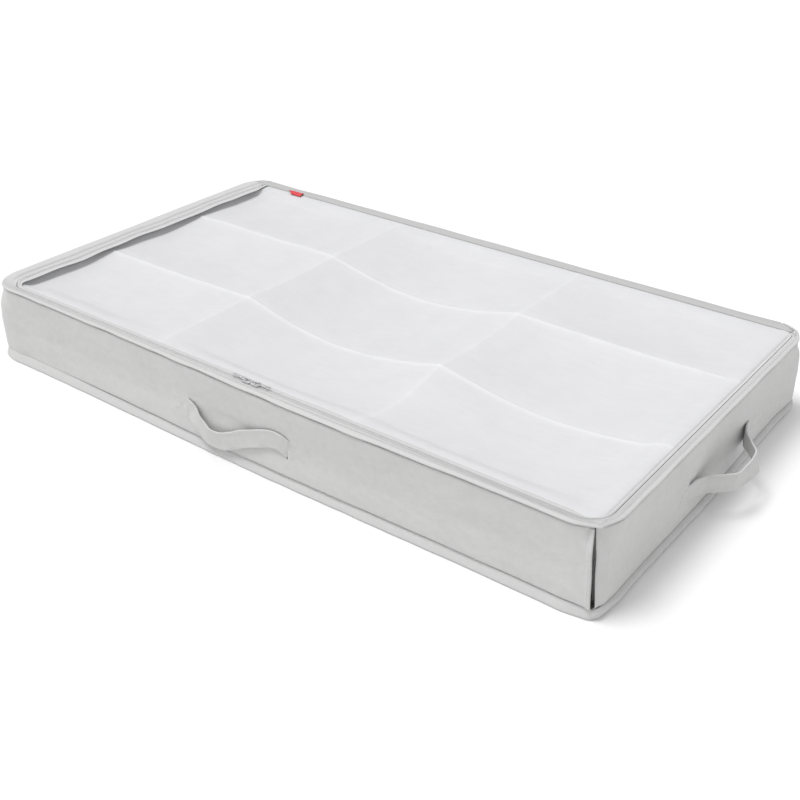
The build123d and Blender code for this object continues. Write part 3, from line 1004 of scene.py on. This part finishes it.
def rounded_corners(x, y, half_x, half_y, radius, front_only=False):
    """Moves the points of a rectangle's corners onto arcs."""
    dx = abs(x) - (half_x - radius)
    dy = abs(y) - (half_y - radius)
    inside = (dx > 0) & (dy > 0)
    if front_only:
        inside = inside & (y < 0)
    dx, dy = np.maximum(dx, 1e-6), np.maximum(dy, 1e-6)
    scale = np.where(inside, np.maximum(dx, dy) / np.hypot(dx, dy), 1.0)
    new_x = np.where(inside, np.sign(x) * (half_x - radius + dx * scale), x)
    new_y = np.where(inside, np.sign(y) * (half_y - radius + dy * scale), y)
    return new_x, new_y


# ------------------------ dividers
def make_divider(node, along_x, at, crossings, slot_from_top):
    """Covered panel with a folded top edge and the slots where the others cross it."""
    name = node + "_panel"
    low, high = extent(node)
    axis = 0 if along_x else 1
    ends = (low[axis] + 0.3, high[axis] - 0.3)
    places = list(np.arange(ends[0], ends[1], 6.0)) + [ends[1]]
    for crossing in crossings:
        places = [p for p in places if abs(p - crossing) > 3.2]
        places += [crossing - 3.0, crossing - 1.3, crossing + 1.3, crossing + 3.0]
    places = np.array(sorted(places))
    across = np.full(len(places), at)
    top = sheet_height(*((places, across) if along_x else (across, places))) - 1.5
    middle = (low[2] + WALL_TOP) / 2
    levels = [top * 0 + level for level in (low[2], low[2] + 15, middle)]
    levels += [middle + (top - middle) * t for t in (0.3, 0.6, 0.85, 1.0)]
    across = at + 0.25 * ripples(places, places * 0, 90, sum(ord(letter) for letter in name))
    sideways = (places, across) if along_x else (across, places)
    grid = np.array([np.column_stack([*sideways, level]) for level in levels])
    holes = np.zeros(grid.shape[:2], bool)
    centres = (places[:-1] + places[1:]) / 2
    for crossing in crossings:
        column = np.flatnonzero(abs(centres - crossing) < 1.0)
        holes[2:, column] |= slot_from_top
        holes[:2, column] |= not slot_from_top
    mesh = solidified(grid_mesh(name, grid, holes=holes), 1.9, 0.0)
    piece = add_object(name, mesh, panel_fabric, "divider_fabric", "box", [node])
    bevelled(piece, 0.6, 2)
    cuts = [0] + [int(np.searchsorted(places, c)) for c in crossings] + [len(places)]
    lines = []
    for side in (-1, 1):
        normal = np.array((0, side, 0) if along_x else (side, 0, 0))
        hem = grid[-1] + normal - (0, 0, 7.0)
        lines += [(hem[a + 1:b - 1], normal) for a, b in zip(cuts, cuts[1:])]
    stitching(name + "_stitches", lines, "box", "divider_fabric")


# ------------------------ zip
COIL_PITCH = 1.7
COIL_HALF_WIDTH = 1.15
WIRE = 0.36
CHAIN_HALF_GAP = 0.35


def strip_shape(base, share):
    """Outset and height of the upper tape, which stands proud on the left and is folded
    down on the right."""
    x, y = base[0].T
    right = right_border(x)
    left = smooth((-x - HALF_X + 28) / 12) * left_rise(y) * (1 - smooth((y - HALF_Y + 60) / 40))
    width = 7.0 - 1.6 * right + 10.1 * left
    outset = -ZIP_INSET - 0.5 - width * share
    height = TAPE_HIGH - 2.4 * right * share + 2.2 * left * share**1.5 + 0.5 * share**3
    height = height + 0.4 * ripples(x, y, 70, 61) * share
    return outset, height


def make_zip_tapes():
    """Lower tape from the rim to the zip, folded on the left, and upper tape over the sheet."""
    rim_line = open_track(WALL_RADII, BACK_SEAM)
    zip_line = zip_track(BACK_SEAM)
    shift = rim_shift(*rim_line[0].T, rim_line[1])
    outer = rows_along(rim_line, [(shift + 1.4, RIM_TOP - 0.3)])[0]
    inner = zip_wander(rows_along(zip_line, [(-ZIP_INSET + 0.5, TAPE_HIGH)]))[0]
    shares = np.linspace(0, 1, 22)
    surface = np.array([outer + (inner - outer) * t for t in shares])
    shares = shares[:, None]
    arch = np.sin(math.pi * shares)
    left = smooth((-surface[:1, :, 0] - HALF_X + 12) / 10) * left_rise(surface[..., 1])
    folds = 2.4 * bell(shares - 0.66, 0.06) + 0.9 * bell(shares - 0.36, 0.07)
    waves = 0.5 * ripples(surface[..., 0], surface[..., 1], 60, 62)
    surface[..., 2] += left * ((1.9 + waves) * arch - folds)
    add_cloth("zip_tape_lower_weave", surface, 0.6, zip_tape, "zip_tape", "box", ["zip_tape_lower"])
    rows = [strip_shape(zip_line, share) for share in np.linspace(0, 1, 8)]
    strip = zip_wander(rows_along(zip_line, rows))
    add_cloth("zip_tape_upper_weave", strip, 0.6, zip_tape, "zip_tape", "lid", ["zip_tape_upper"])
    edge = strip[5] + (0, 0, 0.12)
    stitching("zip_tape_stitches", [(edge, (0, 0, 1))], "lid", "zip_tape")


def make_coil(half, side, body):
    """One half of the chain: a flattened spiral whose loops reach between the other half's."""
    node = "zip_coil_" + half
    line = zip_wander(rows_along(zip_track(COIL_END), [(-ZIP_INSET, 0.0)]))[0]
    line = resample(line, 1.0)[:, :2]
    run = run_of(line)
    turns = int(run[-1] / COIL_PITCH)
    steps = 10
    t = np.arange(turns * steps) / steps + (0.5 if side > 0 else 0.0)
    at = np.clip(t * COIL_PITCH, 0, run[-1])
    direction = unit(at_places(line, run, at + 2) - at_places(line, run, at - 2))
    out = np.column_stack([direction[:, 1], -direction[:, 0]])
    angle = t * math.tau
    height = (COIL_TOP - TAPE_HIGH) / 2 - WIRE
    across = side * (CHAIN_HALF_GAP + WIRE + COIL_HALF_WIDTH) + COIL_HALF_WIDTH * np.cos(angle)
    up = TAPE_HIGH + WIRE + height * (1 + np.sin(angle))
    middle = np.column_stack([at_places(line, run, at) + out * across[:, None], up])
    forward = unit(np.gradient(middle, axis=0))
    sideways = unit(np.cross(forward, np.column_stack([direction, 0 * at])))
    other = np.cross(forward, sideways)
    ring = [middle + (sideways * math.cos(a) + other * math.sin(a)) * WIRE
            for a in around(5)]
    mesh = grid_mesh(node, np.array(ring), wrap_rows=True)
    add_object(node + "_spiral", mesh, coil_nylon, "zip_coil", body, [node])


def make_end_stops():
    """Metal clamps that close the chain at the back."""
    low, high = extent("zip_end_stops")
    profile = ((0, 0.0), (0, 0.8), (0.06, 1.0), (0.94, 1.0), (1, 0.8), (1, 0.0))
    parts = []
    for side in (-1, 1):
        x = side * (HALF_X - ZIP_INSET)
        ends = zip_wander(np.array([[x, low[1] - 1, 0], [x, high[1], 0]]))
        grid = []
        for angle in around(16):
            wide, tall = [size * math.copysign(abs(turn) ** 0.5, turn)
                          for size, turn in ((2.7, math.cos(angle)), (1.5, math.sin(angle)))]
            grid.append([ends[0] + (ends[1] - ends[0]) * share
                         + (wide * shrink, 0, TAPE_HIGH + 1.0 + tall * shrink)
                         for share, shrink in profile])
        faces = cells(16, len(profile), wrap_rows=True)[2]
        parts.append((np.array(grid).reshape(-1, 3), faces))
    mesh = mesh_of("zip end stops", *merged(parts))
    work = opened(mesh)
    bmesh.ops.remove_doubles(work, verts=work.verts, dist=1e-6)
    written(work, mesh)
    add_object("zip_end_clamps", mesh, slider_metal, "slider_metal", "box", ["zip_end_stops"])


# ------------------------ lid
def lines_across(first, last, divider):
    """Grid lines over the sheet, closer together beside a pair of dividers."""
    beside = [sign * divider + off for sign in (-1, 1) for off in (-1.5, 0.0, 1.5)]
    return np.unique(np.concatenate([np.arange(first, last, 4.0), [last], beside]))


def make_lid_sheet():
    """The white sheet, with a raised edge where its border is folded and sewn."""
    x, y = np.meshgrid(lines_across(-SHEET_X, SHEET_X, DIVIDER_X),
                       lines_across(SHEET_FRONT, SHEET_BACK, DIVIDER_Y), indexing="ij")
    x, y = rounded_corners(x, y, SHEET_X, -SHEET_FRONT, 19.5, front_only=True)
    hem = 0.5 * smooth((26 - np.minimum(HALF_Y + y, HALF_X - x)) / 1.5)
    z = sheet_height(x, y) + hem - 1.6 * right_border(x) * smooth((x - SHEET_X + 6) / 6)
    mesh = layer_mesh("lid sheet", zip_wander(np.stack([x, y, z], axis=-1)), 0.45)
    piece = add_object("lid_sheet_cloth", mesh, white_sheet, "lid_sheet", "lid", ["lid_sheet"])


def make_lid_hem():
    """Narrow tape under the sheet's sewn border."""
    line = zip_track(BACK_SEAM)
    rows = []
    for inset in np.linspace(12.5, 23.5, 5):
        inner = line[0] - line[1] * inset
        rows.append((-inset, sheet_height(*inner.T) - 1.2))
    tape = zip_wander(rows_along(line, rows))
    add_cloth("lid_hem_tape", tape, 0.5, binding_tape, "binding_tape", "lid", ["lid_hem"])
    top = zip_wander(rows_along(line, [(-23.0, rows[-1][1] + 1.35)]))[0]
    stitching("lid_hem_stitches", [(top, (0, 0, 1))], "lid", "lid_sheet", radius=0.22)


def make_back_bindings():
    """Band that joins the sheet to the back wall; it bends at the hinge."""
    xs = np.linspace(-1, 1, 180)
    profile = [(HALF_Y + y, SHEET_LEVEL + z)
               for y, z in ((-15.5, 0.8), (-11, 1.9), (-5, 2.9), (-0.5, 2.5), (2.6, 1.2))]
    profile += [(HALF_Y + 3.8, WALL_TOP - 1.0), (HALF_Y + 3.2, WALL_TOP - 5.0),
                (HALF_Y + 2.2, extent("hinge_binding")[0][2])]
    profile = catmull(profile, 4)
    wave = 0.6 * ripples(xs * HALF_X, xs * 0, 90, 71)
    lift = 0.6 * ripples(xs * HALF_X, xs * 0, 120, 72)
    rows = []
    for k, (y, z) in enumerate(profile):
        share = math.sin(math.pi * k / (len(profile) - 1))
        into_corner = max(0.0, y - (HALF_Y - CORNER_REACH))
        arc = math.sqrt(max(0.0, (CORNER_REACH - 1.6) ** 2 - into_corner**2))
        end = max(HALF_X - CORNER_REACH + arc, HALF_X - 33.5)
        rows.append(np.column_stack([xs * end, y + wave * share, z + lift * share]))
    grid = np.array(rows)
    piece = add_cloth("lid_back_binding", grid, 0.7, back_tape, "binding_tape", None,
                      ["lid_back_band", "hinge_binding"])
    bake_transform(piece)
    for name, row, normal, body in (("back", 3, (0, 0, 1), "lid"), ("hinge", -4, (0, 1, 0), "box")):
        line = grid[row] + 0.15 * np.array(normal)
        stitching(name + "_binding_stitches", [(line, normal)], body, "binding_tape")


def make_label():
    """Plain folded label sewn under the back band, its free end turned to one side."""
    low, high = extent("label_tab")
    grid = []
    for share in np.linspace(0, 1, 10):
        x = np.linspace(low[0] - 2.5 + 14.5 * share, high[0] + 2.5 + 3.0 * share, 15)
        slant = 1.8 * (x - low[0]) / (high[0] - low[0]) * (1 - share)
        y = HALF_Y - 13.0 - 11.5 * share + slant
        z = sheet_height(x, y) + 1.5 + 2.6 * math.sin(math.pi * (0.15 + 0.8 * share))
        grid.append(np.column_stack([x, y, z + 0.3 * np.sin(x / 5)]))
    add_cloth("label_tab_satin", np.array(grid), 0.7, red_label, "label_red", "lid", ["label_tab"])


# ------------------------ sliders, pulls and boards
BLOCK_FACES = [(0, 1, 3, 2), (4, 6, 7, 5), (0, 4, 5, 1), (2, 3, 7, 6), (0, 2, 6, 4),
               (1, 5, 7, 3)]


def block(low, high):
    """Corner points and faces of a block."""
    return list(itertools.product(*zip(low, high))), BLOCK_FACES


def join_rings(work, rings, wrap=False):
    """Faces from each ring of a bmesh to the next; the ends are capped unless the rings wrap."""
    for ring, after in zip(rings, rings[1:] + rings[:1] if wrap else rings[1:]):
        for k in range(len(ring)):
            n = (k + 1) % len(ring)
            work.faces.new((ring[k], ring[n], after[n], after[k]))
    if not wrap:
        work.faces.new(rings[0][::-1])
        work.faces.new(rings[-1])


def add_tube(work, line, radius, sides=10):
    """Adds a closed round bar along a line of points to a bmesh."""
    line = np.asarray(line, float)
    forward = unit(np.gradient(line, axis=0))
    first = unit(np.cross(forward, np.array([0.01, 1.0, 0.02])))
    second = np.cross(forward, first)
    turns = around(sides)
    rings = []
    for at, one, other in zip(line, first, second):
        spokes = [(one * math.cos(a) + other * math.sin(a)) * radius for a in turns]
        rings.append([work.verts.new((at + spoke) * MM) for spoke in spokes])
    join_rings(work, rings)


def make_slider(side):
    """Slider: waisted top plate with flanges, a bridge for the pull and a lower plate."""
    node = "slider_" + side
    low, high = extent(node)
    middle, zip_y = (low[:2] + high[:2]) / 2
    length, half = high[0] - low[0], (high[1] - low[1]) / 2
    plate = COIL_TOP + 0.3
    outline = []
    for k in range(24):
        c, s = math.cos(math.tau * k / 24), math.sin(math.tau * k / 24)
        x = math.copysign(abs(c) ** 0.55, c) * length / 2
        waist = 1 - 0.16 * math.cos(math.pi * x / length) ** 2
        outline.append((x, math.copysign(abs(s) ** 0.6, s) * half * waist))
    work = bmesh.new()
    rings = []
    for lift, scale in ((0.0, 0.94), (0.25, 1.0), (0.8, 1.0), (1.1, 0.93), (1.25, 0.7)):
        ring = [(middle + x * scale, zip_y + y * scale, plate + lift) for x, y in outline]
        rings.append([work.verts.new(Vector(point) * MM) for point in ring])
    join_rings(work, rings)
    foot = plate + 0.7
    rise = high[2] - plate - 1.4
    arch = [(middle - 4.2 * math.cos(a), zip_y, foot + rise * math.sin(a) ** 0.6)
            for a in (math.pi * k / 12 for k in range(13))]
    add_tube(work, arch, 0.75)
    for y in (-1, 1):
        flange = [(middle + x, zip_y + y * (half - 0.4), plate - 0.3)
                  for x in np.linspace(-5.2, 5.2, 6)]
        add_tube(work, flange, 0.4)
    mesh = written(work, bpy.data.meshes.new(node + " body"))
    body = side + "_slider"
    add_object(node + "_body", mesh, slider_metal, "slider_metal", body, [node])
    neck = 0.15
    blocks = [block((middle - reach, zip_y - neck, low[2]), (middle + reach, far, top))
              for reach, far, top in ((5.6, zip_y + half, low[2] + 0.8),
                                      (2.2, zip_y + neck, plate + 0.3))]
    name = node + "_lower_plate"
    piece = add_object(name, mesh_of(name, *merged(blocks)), slider_metal, "slider_metal", body)
    bevelled(piece, 0.06, 3)
    piece.data.shade_smooth()


def make_pull(side):
    """Pull: a round-cornered loop and a narrow tab that ends in a ring."""
    node = "pull_" + side
    low, high = extent(node)
    direction = -1 if side == "left" else 1
    bar_x = high[0] - 0.6 if side == "left" else low[0] + 0.6
    length = abs((low[0] if side == "left" else high[0]) - bar_x)
    zip_y, z = (low[1:] + high[1:]) / 2
    half = (high[1] - low[1]) / 2 - 0.55

    def placed(along, across):
        return (bar_x + direction * along, zip_y + across, z)

    upper = [(0.0, half - 0.6), (0.5, half), (4.0, half), (8.0, half * 0.92), (8.8, half * 0.6)]
    lower = [(along, -across) for along, across in upper[::-1]]
    loop = [(0.0, 0.0)] + upper + [(9.0, 0.0)] + lower + [(0.0, 0.0)]
    work = bmesh.new()
    add_tube(work, catmull([placed(*point) for point in loop], 4), 0.6)
    centre = length - 3.2
    outline = []
    for k in range(48):
        a = math.tau * k / 48
        toward_bar, aside = -math.cos(a), abs(math.sin(a))
        reach = 3.1
        if toward_bar > 0.2:
            reach = max(reach, min((centre - 8.2) / toward_bar, 1.5 / max(aside, 0.01)))
        outline.append((centre + reach * math.cos(a), reach * math.sin(a)))
    add_plate(work, outline, centre, 1.9, placed, 0.55)
    mesh = written(work, bpy.data.meshes.new(node + " loop and tab"))
    add_object(node + "_tab", mesh, slider_metal, "slider_metal", side + "_pull", [node])


def add_plate(work, outline, hole_at, hole_radius, placed, half_thickness):
    """Adds a flat plate with a round hole to a bmesh; outline points run once round it."""
    outer = [(0.0, 0.5), (0.05, 1.0), (1.0, 1.0)]
    rings = []
    for share, lift in outer + [(share, -lift) for share, lift in outer[::-1]]:
        ring = []
        for along, across in outline:
            angle = math.atan2(across, along - hole_at)
            a = along + (hole_at + hole_radius * math.cos(angle) - along) * share
            b = across + (hole_radius * math.sin(angle) - across) * share
            point = Vector(placed(a, b)) + Vector((0, 0, lift * half_thickness))
            ring.append(work.verts.new(point * MM))
        rings.append(ring)
    join_rings(work, rings, wrap=True)


def make_wall_boards():
    """Stiff boards in the walls, shorter than the sides so that the corners stay soft."""
    for side in ("front", "back", "left", "right"):
        node = side + "_wall_board"
        low, high = extent(node)
        axis = 0 if side in ("front", "back") else 1
        low[axis], high[axis] = low[axis] + 18, high[axis] - 18
        mesh = mesh_of(node, *block(low, high))
        piece = add_object(node + "_core", mesh, grey_board, "grey_board", "box", [node])
        bevelled(piece, 0.5, 2)


# ------------------------ handles
STRAP_HALF = 12.5
STRAP_THICKNESS = 2.0


def strap_section():
    """Folded strap cut across: flat, with slightly fuller edges; (across, off) pairs."""
    upper = []
    for across in (-11.9, -10.6, -8.8, -5, 0, 5, 8.8, 10.6, 11.9):
        edge = 0.25 * bell(abs(across) - 11.2, 1.2) - 0.12 * bell(abs(across) - 8.8, 0.9)
        upper.append((across, STRAP_THICKNESS / 2 + edge))
    upper += [(STRAP_HALF, 0.5)]
    half = upper + [(STRAP_HALF, -0.5)]
    return half + [(-across, -off) for across, off in half]


def make_strap(side, points, widths):
    """Ribbon through points; widths are the directions of its width."""
    node = side + "_handle"
    line = catmull(points, 9)
    direction = unit(np.gradient(line, axis=0))
    width = catmull(widths, 9)
    width = unit(width - direction * np.sum(width * direction, axis=1, keepdims=True))
    off = unit(np.cross(direction, width))
    run = run_of(line)
    ripple = 0.35 * np.sin(run / 9.0) + 0.25 * np.sin(run / 4.3 + 1)
    rows = []
    for across, depth in strap_section():
        wobble = off * (ripple * (across / STRAP_HALF) ** 2)[:, None]
        rows.append(line + width * across + off * depth + wobble)
    mesh = grid_mesh(node + "_strap", np.array(rows), wrap_rows=True)
    strap = add_object(node + "_strap", mesh, strap_fabric, "strap_webbing", None, [node])
    lines = []
    for edge in (-1, 1):
        for face in (-1, 1):
            place = line + width * edge * 9.0 + off * face * (STRAP_THICKNESS / 2 - 0.02)
            lines.append((place[9:-9], off[9:-9] * face))
    stitches = stitching(node + "_strap_stitches", lines, None, "strap_webbing",
                         pitch=3.4, length=2.6, radius=0.28)
    for piece in (strap, stitches):
        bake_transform(piece)


def front_strap():
    """The front strap hangs: (x, outset, height) of its centreline."""
    route = [(-102, -2.6, 50), (-93, 0.6, 50), (-87, 2.4, 47), (-78, 4.4, 40), (-68, 5.6, 33.5),
             (-55, 6.2, 27.5), (-42, 6.4, 26), (-28, 6.4, 28), (-12, 6.2, 34), (5, 5.6, 42.5),
             (18, 5, 47.5), (32, 4.2, 52.5), (45, 3.6, 57), (56, 3.2, 59.5), (66, 3.0, 59),
             (72, 2.4, 57), (77, 0.6, 54), (86, -2.6, 52)]
    points = [(x, -HALF_Y - float(wall_line(x, -HALF_Y, z)) - off, z) for x, off, z in route]
    widths = []
    for before, after in zip(route[:1] + route, route[1:] + route[-1:]):
        dx, dz = after[0] - before[0], after[2] - before[2]
        length = math.hypot(dx, dz)
        widths.append((-dz / length, 0, dx / length))
    make_strap("front", points, widths)


def side_strap(side):
    """The side straps stand out: (outset, y, height) of the centreline, and the width's lean."""
    route = [(-2.6, -78, 48), (0.6, -70, 48), (3.5, -58, 48), (8, -48, 48), (12, -42, 48),
             (24, -31, 48), (36, -19.5, 48), (40, -13, 48), (42.5, 2, 47.5), (43.5, 20, 47),
             (42.5, 38, 47), (38.5, 49, 47), (26, 63, 48), (12.5, 75, 49), (8, 80.5, 49.5),
             (4, 89, 50), (1.6, 97.5, 50), (0.4, 101, 50), (-2.6, 109, 50)]
    lean = [(0, 0, 1)] * 8 + [(-0.1, 0, 1), (-0.2, 0.05, 1), (-0.3, 0.1, 0.95), (-0.3, 0.1, 0.95),
                              (-0.2, 0, 1), (-0.1, 0, 1)] + [(0, 0, 1)] * 5
    points = []
    for off, y, z in route:
        wall = float(wall_line(HALF_X, y, z)) * float(np.interp(off, (1, 30), (1, 0)))
        points.append((side * (HALF_X + off + wall), y, z))
    make_strap("right" if side > 0 else "left", points, [(side * a, b, c) for a, b, c in lean])


# ------------------------ what stays from the CAD
def dress_cad_nodes():
    """The bottom board and the hidden strap ends keep their CAD meshes, with materials."""
    dress = [("bottom_board", grey_board, "grey_board")]
    dress += [(side + "_handle_tabs", strap_fabric, "strap_webbing")
              for side in ("front", "left", "right")]
    for node, material, slot in dress:
        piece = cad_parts[node]
        piece.data.materials.clear()
        piece.data.materials.append(material)


# ------------------------ studio
FLOOR_HALF = 30.0
WORLD_STRENGTH = 0.70
SUN_STRENGTH = 1.84
SUN_SPREAD = 24
SUN_FROM = (-0.30, -0.18, 0.93)
CAMERA_AZIMUTH = 37.17
CAMERA_ELEVATION = 30.33
CAMERA_LENS = 50.9
CAMERA_PLACE = (0.8884, -1.1292, 0.8018)


def make_studio():
    """Pale floor, white surroundings and one broad soft light from the upper left."""
    mesh = bpy.data.meshes.new("floor")
    corners = [(x * FLOOR_HALF, y * FLOOR_HALF, 0) for x, y in ((-1, -1), (1, -1), (1, 1), (-1, 1))]
    mesh.from_pydata(corners, [], [(0, 1, 2, 3)])
    mesh.materials.append(Shader("pale floor").set(Base_Color=(0.86, 0.86, 0.86, 1), Roughness=0.9))
    linked("floor", mesh)
    world = bpy.data.worlds.new("studio")
    bpy.context.scene.world = world
    world.use_nodes = True
    background = world.node_tree.nodes["Background"]
    background.inputs["Color"].default_value = (1, 1, 1, 1)
    background.inputs["Strength"].default_value = WORLD_STRENGTH
    sun = bpy.data.lights.new("key", "SUN")
    sun.energy = SUN_STRENGTH
    sun.angle = math.radians(SUN_SPREAD)
    key = linked("key", sun)
    key.rotation_mode = "QUATERNION"
    key.rotation_quaternion = Vector(SUN_FROM).to_track_quat("Z", "Y")
    bpy.context.scene.view_settings.view_transform = "Standard"


def make_camera():
    """Camera at the photograph's angle."""
    azimuth, elevation = math.radians(CAMERA_AZIMUTH), math.radians(CAMERA_ELEVATION)
    level = math.cos(elevation)
    back = Vector((math.sin(azimuth) * level, -math.cos(azimuth) * level, math.sin(elevation)))
    camera_data = bpy.data.cameras.new("camera")
    camera_data.lens = CAMERA_LENS
    camera = linked("camera", camera_data)
    camera.rotation_mode = "QUATERNION"
    camera.rotation_quaternion = (-back).to_track_quat("-Z", "Y")
    camera.location = CAMERA_PLACE
    bpy.context.scene.camera = camera


# ------------------------ the whole box
make_camera()
make_studio()
dress_cad_nodes()

make_corner_seam(*make_wall_cover())
make_patch_stitches()
make_bottom_binding()
make_rim_binding()
make_linings()
make_wall_boards()
for place, y in (("front", -DIVIDER_Y), ("back", DIVIDER_Y)):
    make_divider("divider_long_" + place, True, y, (-DIVIDER_X, DIVIDER_X), True)
for place, x in (("left", -DIVIDER_X), ("right", DIVIDER_X)):
    make_divider("divider_cross_" + place, False, x, (-DIVIDER_Y, DIVIDER_Y), False)

make_zip_tapes()
make_coil("lower", 1, "box")
make_coil("upper", -1, "lid")
make_end_stops()
make_lid_sheet()
make_lid_hem()
make_back_bindings()
make_label()
for side in ("left", "right"):
    make_slider(side)
    make_pull(side)
front_strap()
side_strap(1)
side_strap(-1)
